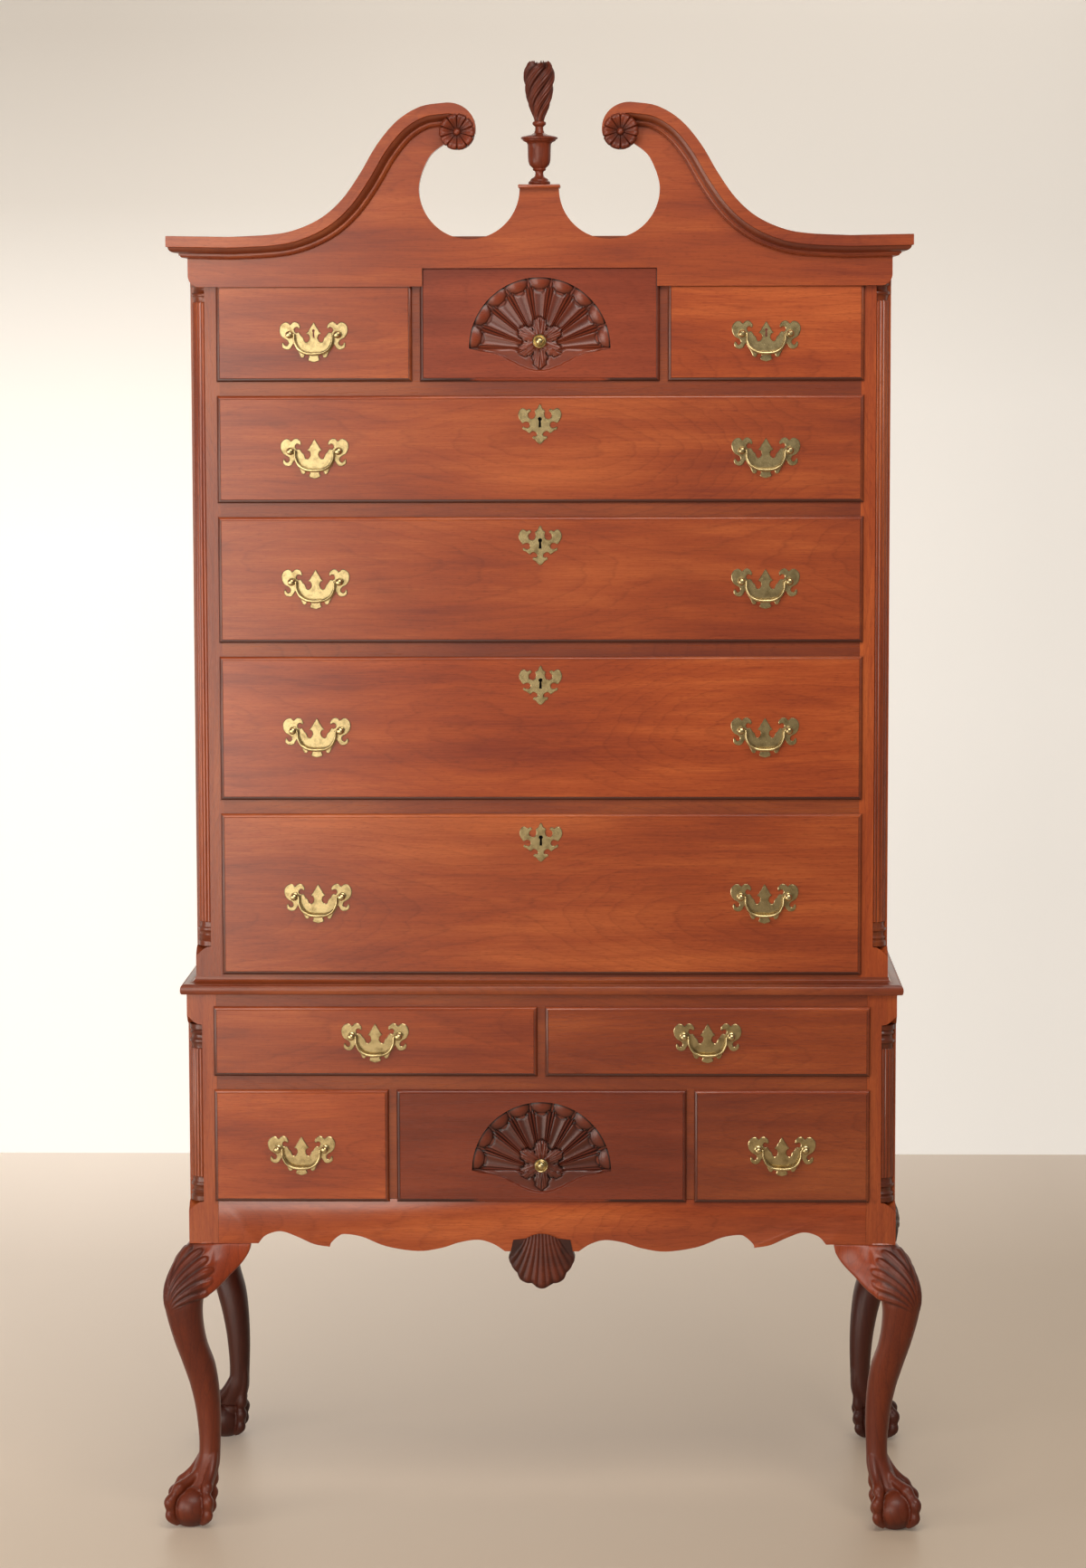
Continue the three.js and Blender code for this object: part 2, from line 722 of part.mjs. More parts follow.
// Each station is a share of the way from the shaft's end to the case, of the knee's reach outside the
// corner and of the post's width inside it, how square the section is, and how much carving it has.
const leg_stations_shares = [
  [1, 0, 1, 9, 0], [0.983, 0.17, 0.97, 6, 0.5], [0.924, 0.6, 0.92, 4, 1], [0.851, 0.92, 0.72, 3.2, 1],
  [0.785, 1, 0.49, 2.8, 0.6], [0.708, 0.89, 0.45, 2.5, 0], [0.605, 0.635, 0.56, 2.4, 0],
  [0.509, 0.284, 0.8, 2.3, 0], [0.406, -0.068, 0.92, 2.2, 0], [0.287, -0.25, 0.963, 2.1, 0],
  [0.138, -0.23, 0.93, 2, 0], [0.08, -0.05, 0.9, 2, 0], [0, 0.35, 0.7, 2, 0]];
const leg_outer_steps = 9;
const leg_inner_steps = 3;

// The middle of the leg's outer side, and the share of half a turn that its carved knee covers.
const leg_middle_angle = Math.PI / 4;
const leg_carved_share = 0.84;

function legShaft(side, end) {
  const angles = [];
  const carved = Math.PI * leg_carved_share;
  const plain = 2 * Math.PI - carved;
  for (let i = 0; i < leg_outer_steps; i++) {
    angles.push(leg_middle_angle + carved * (i / (leg_outer_steps - 1) - 1 / 2));
  }
  for (let i = 1; i <= leg_inner_steps; i++) {
    angles.push(leg_middle_angle + carved / 2 + plain * i / (leg_inner_steps + 1));
  }
  const low = leg_sink_share * ball_height;
  const rings = leg_stations_shares.map(([v, outer_share, inner_share, power, carving]) => {
    const outer = outer_share * knee_reach;
    const inner = -inner_share * post_width;
    const centre = (outer + inner) / 2;
    const half = (outer - inner) / 2;
    return angles.map((angle, i) => {
      const c = Math.cos(angle);
      const s = Math.sin(angle);
      const round = (Math.abs(c) ** power + Math.abs(s) ** power) ** (-1 / power);
      const groove = i < leg_outer_steps && i % 2 === 1 ? knee_relief * carving : 0;
      const reach = half * round - groove;
      return new THREE.Vector3(
        side * (lower_half_width + centre + reach * c),
        end * (case_depth / 2 + centre + reach * s),
        low + v * (leg_height - low) + (v === 1 ? join : 0));
    });
  });
  return loft(rings);
}

// Each station is a share of the ball's radius out from its middle, a share of its height,
// and a share of the talon's radius.
const talon_shares = [[0.2, 1.6, 0.8], [0.8, 1.04, 0.9], [1.17, 0.7, 1], [1.11, 0.5, 0.72],
  [1.2, 0.28, 0.95], [1.02, 0.08, 0.5]];
const talon_sides = 5;

function foot(side, end) {
  const centre = new THREE.Vector3(
    side * (lower_half_width + foot_offset), end * (case_depth / 2 + foot_offset), 0);
  const sphere = new THREE.SphereGeometry(1, ball_steps, ball_rows).rotateX(Math.PI / 2);
  const upright = (ball_height + ball_flat) / 2;
  sphere.scale(ball_radius, ball_radius, upright);
  sphere.translate(centre.x, centre.y, ball_height - upright);
  const pieces = [solid(sphere)];
  for (let quarter = 0; quarter < 4; quarter++) {
    const angle = Math.PI / 4 + quarter * Math.PI / 2;
    const out = new THREE.Vector3(Math.cos(angle), Math.sin(angle), 0);
    const across = new THREE.Vector3(-out.y, out.x, 0);
    const line = talon_shares.map(([r, h]) =>
      centre.clone().addScaledVector(out, r * ball_radius).setZ(h * ball_height));
    const rings = line.map((point, i) => {
      const along = line[Math.min(i + 1, line.length - 1)].clone().sub(line[Math.max(i - 1, 0)]).normalize();
      const normal = along.clone().cross(across);
      const radius = talon_shares[i][2] * talon_radius;
      const ring = [];
      for (let k = 0; k < talon_sides; k++) {
        const turn = 2 * Math.PI * k / talon_sides;
        ring.push(point.clone()
          .addScaledVector(across, radius * Math.cos(turn))
          .addScaledVector(normal, radius * Math.sin(turn)));
      }
      return ring;
    });
    pieces.push(loft(rings));
  }
  return joined(pieces);
}

// Each point is a share of the block's reach beyond the post and a share of its drop.
const block_shares = [[1, 0], [0.96, 0.15], [0.74, 0.38], [0.42, 0.59], [0.02, 0.85], [-0.3, 1],
  [-0.5, 0.6], [-0.5, 0]];

function kneeBlock(side, end, along_front) {
  const inner = along_front ? lower_opening_half : case_depth / 2 - post_width;
  const sign = along_front ? side : end;
  const points = block_shares.map(([u, v]) => [sign * (inner - u * block_reach),
    leg_height - seat_gap - v * block_drop]);
  const half = along_front ? case_depth / 2 : lower_half_width;
  const other = along_front ? end : side;
  const [near, far] = [other * half, other * (half - block_thickness)].sort((a, b) => a - b);
  return along_front ? frontBoard(points, near, far) : sideBoard(points, near, far);
}

function leg(side, end) {
  const [x0, x1] = [side * lower_opening_half, side * lower_half_width].sort((a, b) => a - b);
  const [y0, y1] = [end * (case_depth / 2 - post_width), end * case_depth / 2].sort((a, b) => a - b);
  let post = board(x0, x1, y0, y1, leg_height - join, waist_z - seat_gap);
  if (end < 0) {
    const foot_z = leg_height + lower_column_foot;
    const head_z = waist_z - lower_column_head;
    post = post.subtract(columnRebate(side, lower_half_width, lower_face, foot_z, head_z))
      .add(quarterColumn(side, lower_half_width, lower_face, foot_z, head_z));
  }
  const whole = joined([post, legShaft(side, end), kneeBlock(side, end, true),
    kneeBlock(side, end, false), foot(side, end)]);
  const reach = lower_half_width + case_depth;
  return whole.subtract(board(-reach, reach, -reach, reach, -leg_height, 0));
}

// Drawers

// Each bay is an opening with the pieces that its drawer carries.
const bays = [];

function addBay(name, x0, x1, z0, z1, face, options) {
  bays.push({ name, x0, x1, z0, z1, face, pulls: [], rise: pull_rise, ...options });
}

const top_pull = (top_centre_half + partition_thickness + upper_opening_half) / 2;
const top_inner = top_centre_half + partition_thickness;
addBay('top_left', -upper_opening_half, -top_inner, top_row_z, top_row_top, upper_face,
  { pulls: [['', -top_pull]], key: true });
addBay('top_centre', -top_centre_half, top_centre_half, top_row_z, top_row_top + centre_rise, upper_face,
  { shell: true });
addBay('top_right', top_inner, upper_opening_half, top_row_z, top_row_top, upper_face,
  { pulls: [['', top_pull]], key: true });
long_row_z.forEach((z, i) => {
  addBay(`long_${long_row_z.length - i}`, -upper_opening_half, upper_opening_half, z, z + long_openings[i],
    upper_face, { pulls: [['_left', -top_pull], ['_right', top_pull]], lock: true });
});
const lower_pull = (partition_thickness / 2 + lower_opening_half) / 2;
addBay('lower_left', -lower_opening_half, -partition_thickness / 2, lower_row_z, lower_row_top, lower_face,
  { pulls: [['', -lower_pull]], rise: lower_row_pull_rise });
addBay('lower_right', partition_thickness / 2, lower_opening_half, lower_row_z, lower_row_top, lower_face,
  { pulls: [['', lower_pull]], rise: lower_row_pull_rise });
const base_inner = base_centre_half + partition_thickness;
const base_pull = (base_inner + lower_opening_half) / 2;
addBay('base_left', -lower_opening_half, -base_inner, base_row_z, base_row_top, lower_face,
  { pulls: [['', -base_pull]], rise: base_row_pull_rise });
addBay('base_centre', -base_centre_half, base_centre_half, base_row_z, base_row_top, lower_face,
  { shell: true });
addBay('base_right', base_inner, lower_opening_half, base_row_z, base_row_top, lower_face,
  { pulls: [['', base_pull]], rise: base_row_pull_rise });

// The rim of a shell below its middle: a share of a right angle down, and a share of the radius.
const shell_rim_shares = [[0, 1], [0.05, 0.98], [0.14, 0.55], [0.3, 0.42], [0.55, 0.37], [0.8, 0.35]];

// Each ring is a share of the rim, and shares of the depth in the grooves and on the ridges.
const shell_ring_shares = [[1, 0.25, 0.1], [0.94, 0.95, 0.4], [0.66, 1, 0.6], [0.36, 0.85, 0.75],
  [0.31, 0.35, 0.3], [0.16, 0.25, 0.25]];
const shell_steps = 2;

// The waste that is carved away from a drawer front, with the shell's surface as its back.
// The rings shrink the rim towards its middle, and no ring is drawn in further than the rim itself.
function shellCut(front) {
  const rim = [];
  const count = shell_rays * shell_steps;
  for (let i = 0; i <= count; i++) rim.push([Math.PI * i / count, 1, (i % shell_steps) / shell_steps]);
  for (const [v, r] of shell_rim_shares.slice(1)) rim.push([Math.PI * (1 + v / 2), r, 0.5]);
  rim.push([1.5 * Math.PI, shell_rim_shares.at(-1)[1], 0.5]);
  for (const [v, r] of shell_rim_shares.slice(1).reverse()) rim.push([Math.PI * (2 - v / 2), r, 0.5]);
  const ringAt = (share, y) => rim.map(([angle, r, phase]) => {
    const reach = shell_radius * Math.max(share * r, Math.min(share, r));
    return new THREE.Vector3(reach * Math.cos(angle), y(phase), reach * Math.sin(angle));
  });
  const rings = [ringAt(1, () => front - overrun)];
  for (const [share, groove, ridge] of shell_ring_shares) {
    rings.push(ringAt(share, phase => {
      const swell = Math.sin(Math.PI * phase);
      return front + shell_depth * (groove + (ridge - groove) * swell);
    }));
  }
  return loft(rings, rim.map(([angle, r]) => new THREE.Vector2(r * Math.cos(angle), r * Math.sin(angle))));
}

function lip(x0, x1, z0, z1) {
  const levels = [[seat_gap, 0], [lip_proud - lip_round / 2, 0], [lip_proud - lip_round / 6, lip_round / 3],
    [lip_proud, lip_round]];
  return loft(levels.map(([proud, inset]) => [
    new THREE.Vector3(x0 + inset, -proud, z0 + inset),
    new THREE.Vector3(x1 - inset, -proud, z0 + inset),
    new THREE.Vector3(x1 - inset, -proud, z1 - inset),
    new THREE.Vector3(x0 + inset, -proud, z1 - inset),
  ]));
}

// A keyhole: a round with a slot below it that widens towards its foot.
const keyhole_foot_share = 0.55;
const keyhole_neck_share = 0.44;
const keyhole_steps = 5;

function keyholeOutline(z) {
  const foot_half = keyhole_radius * keyhole_foot_share;
  const neck_half = keyhole_radius * keyhole_neck_share;
  const neck_z = z - Math.sqrt(keyhole_radius ** 2 - neck_half ** 2);
  const round = arcPoints(0, z, keyhole_radius, -Math.PI / 4, Math.PI * 5 / 4, keyhole_steps);
  return [[foot_half, z - keyhole_length], [neck_half, neck_z], ...round,
    [-neck_half, neck_z], [-foot_half, z - keyhole_length]];
}

// A drawer in its own frame: x and z from the middle of its opening, y from the face of the case.
function drawer({ x0, x1, z0, z1, face, lock, key, shell, rise }) {
  const half = (x1 - x0) / 2;
  const high = (z1 - z0) / 2;
  const side = half - drawer_side_play;
  const low = -high + seat_gap;
  const top = high - drawer_top_play;
  const board_back = drawer_front_thickness - lip_proud;
  const rim = lip(-half - lip_overlap, half + lip_overlap, -high - lip_overlap, high + lip_overlap);
  const front = board(-side, side, -lip_proud / 2, board_back, low, top);
  const body = board(-side, side, board_back - join, drawer_depth, low, top - drawer_side_drop);
  const wall = drawer_side_thickness;
  const floor = low + drawer_bottom_rise + drawer_bottom_thickness;
  const inside = board(-side + wall, side - wall, board_back, drawer_depth - wall, floor, high + overrun);
  const under = board(-side + wall, side - wall, board_back, drawer_depth - wall,
    low - overrun, low + drawer_bottom_rise);
  let whole = joined([rim, front, body]).subtract(inside).subtract(under);
  if (lock) {
    const hole = keyholeOutline(high + lip_overlap - escutcheon_drop + keyhole_length / 3);
    whole = whole.subtract(frontBoard(hole, -lip_proud - overrun, -lip_proud + keyhole_depth));
  }
  if (key) {
    const hole = keyholeOutline(rise + keyhole_radius);
    whole = whole.subtract(frontBoard(hole, -lip_proud - overrun, -lip_proud + keyhole_depth));
  }
  if (shell) {
    const cut = solid(geometryOf(shellCut(-lip_proud)).translate(0, 0, -shell_drop));
    whole = whole.subtract(cut);
  }
  return whole;
}

// Brass pulls: a bat-wing plate with two posts, and a bail hung between them

// Each point is a share of the half width and, above the posts, of the rise, below them of the fall.
const plate_shares = [[0, 1], [0.2, 0.18], [0.11, 0.02], [0.17, -0.24], [0.3, -0.24], [0.46, 0.19],
  [0.62, 0.25], [0.44, 0.82], [0.71, 0.85], [0.9, 1], [1, 0.5], [0.8, -0.15],
  [0.88, -0.44], [0.58, -0.24], [0.46, -0.66], [0.26, -0.74], [0, -1]];

function pullPlate(key) {
  const outline = mirrored(plate_shares.map(([u, v]) =>
    [u * plate_half_width, v * (v > 0 ? plate_rise : plate_fall)]));
  let sheet = frontBoard(outline, -plate_thickness - seat_gap, -seat_gap);
  if (key) {
    sheet = sheet.subtract(frontBoard(keyholeOutline(keyhole_radius), -plate_thickness - overrun, overrun));
  }
  const pieces = [sheet];
  for (const side of [-1, 1]) {
    const tip = pivot_standoff + post_head_height;
    const post = turnedToFront([[0, plate_thickness / 2], [post_radius, plate_thickness / 2],
      [post_radius, pivot_standoff - post_head_radius], [post_head_radius, pivot_standoff],
      [0, tip]], post_sides);
    const placed = geometryOf(post).translate(side * post_half_spacing, 0, 0);
    pieces.push(solid(placed));
  }
  return joined(pieces);
}

// Each point of the bail is a share of its half width and a share of its drop.
const bail_shares = [[1, 0], [0.98, 0.36], [0.76, 0.77], [0.4, 0.96], [0, 1]];

// One bent rod: a pintle into each post, the two arms and the grip.
function bail() {
  const reach = post_half_spacing - post_head_radius - seat_gap;
  const right = [new THREE.Vector3(reach, 0, 0)];
  for (const [u, v] of bail_shares) right.push(new THREE.Vector3(u * bail_half_width, 0, -v * bail_drop));
  const left = right.slice(0, -1).map(point => new THREE.Vector3(-point.x, 0, point.z)).reverse();
  const line = [...right, ...left];
  const rings = line.map((point, i) => {
    const before = line[Math.max(i - 1, 0)];
    const after = line[Math.min(i + 1, line.length - 1)];
    const along = after.clone().sub(before).normalize();
    const across = new THREE.Vector3(-along.z, 0, along.x);
    const ring = [];
    for (let k = 0; k < bail_sides; k++) {
      const turn = 2 * Math.PI * k / bail_sides;
      ring.push(point.clone().addScaledVector(across, bail_radius * Math.cos(turn))
        .add(new THREE.Vector3(0, bail_radius * Math.sin(turn), 0)));
    }
    return ring;
  });
  return loft(rings);
}

// Each point is a share of the half width and a share of the half height.
const escutcheon_shares = [[0, 1], [0.22, 0.42], [0.38, 0.4], [0.5, 0.86], [0.8, 0.72], [1, 0.62],
  [0.94, 0.1], [0.6, 0], [0.55, -0.42], [0.3, -0.52], [0.28, -0.78], [0, -1]];

function escutcheon() {
  const outline = mirrored(escutcheon_shares.map(([u, v]) =>
    [u * escutcheon_half_width, v * escutcheon_half_height]));
  const sheet = frontBoard(outline, -plate_thickness - seat_gap, -seat_gap);
  const hole = keyholeOutline(keyhole_length / 3);
  return sheet.subtract(frontBoard(hole, -plate_thickness - overrun, overrun));
}

// Each point is a share of the knob's radius and a share of its length.
const knob_shares = [[0, 0], [0.5, 0], [0.42, 0.3], [0.45, 0.5], [0.9, 0.62], [1, 0.75], [0.85, 0.9],
  [0.4, 1], [0, 1]];

function knob() {
  return turnedToFront(knob_shares.map(([r, d]) => [r * knob_radius, d * knob_length]), lathe_steps);
}

// Assembly

place('upper_carcass', upperCarcass(), 'walnut');
place('upper_back', upperBack(), 'poplar');
place('pediment_board', pedimentBoard(), 'walnut');
place('scroll_moulding_left', scrollMoulding(-1), 'walnut');
place('scroll_moulding_right', scrollMoulding(1), 'walnut');
finial();
place('waist_moulding', waistMoulding(), 'walnut');
place('lower_carcass', lowerCarcass(), 'walnut');
place('lower_back', lowerBack(), 'poplar');
place('apron', apron(), 'walnut');
for (const [end_name, end] of [['front', -1], ['back', 1]]) {
  for (const [side_name, side] of [['left', -1], ['right', 1]]) {
    place(`leg_${end_name}_${side_name}`, leg(side, end), 'carved');
  }
}

for (const bay of bays) {
  const x = (bay.x0 + bay.x1) / 2;
  const z = (bay.z0 + bay.z1) / 2;
  const front = bay.face - lip_proud;
  place(`drawer_${bay.name}`, drawer(bay), 'walnut', x, bay.face, z);
  for (const [suffix, pull_x] of bay.pulls) {
    place(`plate_${bay.name}${suffix}`, pullPlate(bay.key), 'brass', pull_x, front, z + bay.rise);
    place(`bail_${bay.name}${suffix}`, bail(), 'brass', pull_x, front - pivot_standoff, z + bay.rise);
  }
  if (bay.lock) {
    place(`escutcheon_${bay.name}`, escutcheon(), 'brass', x, front, bay.z1 + lip_overlap - escutcheon_drop);
  }
  if (bay.shell) {
    const boss = shell_depth * shell_ring_shares.at(-1)[2] - seat_gap;
    place(`knob_${bay.name}`, knob(), 'brass', x, front + boss, z - shell_drop + shell_knob_rise);
  }
}

export default highboy;
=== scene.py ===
"""The looks of a highboy: stained walnut, carved work and brass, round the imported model.

Shapes are worked out in millimetres, as in the model, and each finished mesh is scaled to metres.
X runs to the right, Y to the back and Z up.
"""

from __future__ import annotations

import logging
import math
import random
from dataclasses import dataclass, field
from enum import Enum
from typing import Any, Callable, Iterable, Sequence

import bmesh
import bpy
from bmesh.types import BMesh
from mathutils import Matrix, Vector


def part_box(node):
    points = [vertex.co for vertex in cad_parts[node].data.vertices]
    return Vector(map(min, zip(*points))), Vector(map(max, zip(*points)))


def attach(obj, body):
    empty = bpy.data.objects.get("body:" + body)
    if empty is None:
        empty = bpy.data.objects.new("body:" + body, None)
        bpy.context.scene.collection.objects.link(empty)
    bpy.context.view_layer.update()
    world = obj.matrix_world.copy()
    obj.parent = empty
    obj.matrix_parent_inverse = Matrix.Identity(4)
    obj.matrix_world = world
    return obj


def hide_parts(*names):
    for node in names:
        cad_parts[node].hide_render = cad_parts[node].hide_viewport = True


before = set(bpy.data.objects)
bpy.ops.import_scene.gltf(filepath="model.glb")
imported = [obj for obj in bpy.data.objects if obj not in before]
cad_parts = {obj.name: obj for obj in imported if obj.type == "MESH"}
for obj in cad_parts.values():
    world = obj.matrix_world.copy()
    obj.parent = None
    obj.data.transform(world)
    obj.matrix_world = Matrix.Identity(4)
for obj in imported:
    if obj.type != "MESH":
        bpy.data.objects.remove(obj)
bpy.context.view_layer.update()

LOG = logging.getLogger("highboy")
MM = 0.001
# The darkest tone that a carved place is given, as a share of the full shade.
DARKEST = 0.85
Point = tuple[float, float]
Face = bmesh.types.BMFace
Tree = bpy.types.NodeTree
Socket = bpy.types.NodeSocket
Tone = Callable[[Vector], float]


class Grain(Enum):
    """The axis that a board's grain runs along."""

    ACROSS = 0
    DEEP = 1
    UP = 2


class Side(Enum):
    """A side of the case, by the sign of X there."""

    LEFT = -1
    RIGHT = 1


@dataclass(frozen=True)
class Box:
    """A node's lowest and highest corners at rest, in millimetres."""

    low: Vector
    high: Vector

    @classmethod
    def of(cls, node: str) -> "Box":
        """Reads a node's box from the frame.

        Args:
            node: The name of the node.

        Returns:
            Its box in millimetres.
        """
        low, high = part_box(node)
        return cls(Vector(low) / MM, Vector(high) / MM)

    @property
    def middle(self) -> Vector:
        """The middle of the box."""
        return (self.low + self.high) / 2


def linear(code: str) -> tuple[float, float, float, float]:
    """Turns an sRGB hex colour into a linear one.

    Args:
        code: Six hex digits.

    Returns:
        Red, green, blue and an alpha of 1.
    """
    parts = [int(code[i:i + 2], 16) / 255 for i in (0, 2, 4)]
    red, green, blue = (c / 12.92 if c <= 0.04045 else ((c + 0.055) / 1.055) ** 2.4 for c in parts)
    return red, green, blue, 1.0


def add(tree: Tree, kind: str, settings: dict[str, Any] | None = None,
        inputs: dict[Any, Any] | None = None) -> bpy.types.Node:
    """Adds a node with its settings and links.

    Args:
        tree: The node tree.
        kind: The node's type.
        settings: Its properties; "stops" holds a colour ramp's places and colours.
        inputs: Values, or the sockets to link, by input name or number.

    Returns:
        The new node.
    """
    made = tree.nodes.new(kind)
    for key, value in (settings or {}).items():
        if key == "stops":
            ramp = made.color_ramp
            while len(ramp.elements) < len(value):
                ramp.elements.new(1.0)
            for element, (place, colour) in zip(ramp.elements, value):
                element.position = place
                element.color = colour
        else:
            setattr(made, key, value)
    for key, value in (inputs or {}).items():
        if isinstance(value, Socket):
            tree.links.new(value, made.inputs[key])
        else:
            made.inputs[key].default_value = value
    return made


def maths(tree: Tree, operation: str, *values: Socket | float) -> Socket:
    """Works a number out of others.

    Args:
        tree: The node tree.
        operation: What is done with them.
        values: The numbers, or the sockets to link.

    Returns:
        The result.
    """
    return add(tree, "ShaderNodeMath", {"operation": operation}, dict(enumerate(values))).outputs[0]


def stretched(tree: Tree, value: Socket, start: float = 0.0, end: float = 1.0, low: float = 0.0,
              high: float = 1.0) -> Socket:
    """Stretches a range of values to another one and cuts off what lies past it.

    Args:
        tree: The node tree.
        value: The value.
        start: Where the range starts.
        end: Where the range ends.
        low: What its start becomes.
        high: What its end becomes.

    Returns:
        The stretched value.
    """
    return add(tree, "ShaderNodeMapRange", inputs={0: value, 1: start, 2: end, 3: low, 4: high}).outputs[0]


def mixed(tree: Tree, share: Socket | float, first: Socket, second: Socket) -> Socket:
    """Mixes two numbers by a share of the second one."""
    return add(tree, "ShaderNodeMix", inputs={0: share, 2: first, 3: second}).outputs[0]


def blended(tree: Tree, share: Socket | float, first: Any, second: Any, kind: str = "MIX") -> Socket:
    """Mixes two colours.

    Args:
        tree: The node tree.
        share: How much the second one counts.
        first: The first colour.
        second: The second colour.
        kind: The way of mixing.

    Returns:
        The mixed colour.
    """
    settings = {"data_type": "RGBA", "blend_type": kind}
    return add(tree, "ShaderNodeMix", settings, {0: share, 6: first, 7: second}).outputs[2]


def looked_up(tree: Tree, value: Socket, stops: Sequence[tuple[float, Any]]) -> Socket:
    """Looks a value up in a row of colours.

    Args:
        tree: The node tree.
        value: The value.
        stops: Places from 0 to 1, each with a colour or a grey there.

    Returns:
        The colour.
    """
    colours = [(at, c if isinstance(c, tuple) else (c, c, c, 1)) for at, c in stops]
    return add(tree, "ShaderNodeValToRGB", {"stops": colours}, {0: value}).outputs[0]


def blank_material(name: str) -> tuple[bpy.types.Material, Tree, bpy.types.Node]:
    """Makes a material with nothing but its shader.

    Args:
        name: The material's name.

    Returns:
        The material, its node tree and its shader.
    """
    material = bpy.data.materials.new(name)
    material.use_nodes = True
    tree = material.node_tree
    return material, tree, next(n for n in tree.nodes if n.type == "BSDF_PRINCIPLED")


def fine_relief(tree: Tree, shader: bpy.types.Node, relief: Socket, strength: float,
                roughness: float) -> Socket:
    """Lets one noise raise the surface by up to 0.2 mm and vary its roughness.

    Args:
        tree: The node tree.
        shader: The shader, whose normal is bent.
        relief: The noise.
        strength: How strongly the normal is bent.
        roughness: The mean roughness.

    Returns:
        The roughness.
    """
    bump = add(tree, "ShaderNodeBump", inputs={"Strength": strength, "Distance": 0.2 * MM, "Height": relief})
    tree.links.new(bump.outputs[0], shader.inputs["Normal"])
    return stretched(tree, relief, low=roughness - 0.05, high=roughness + 0.07)


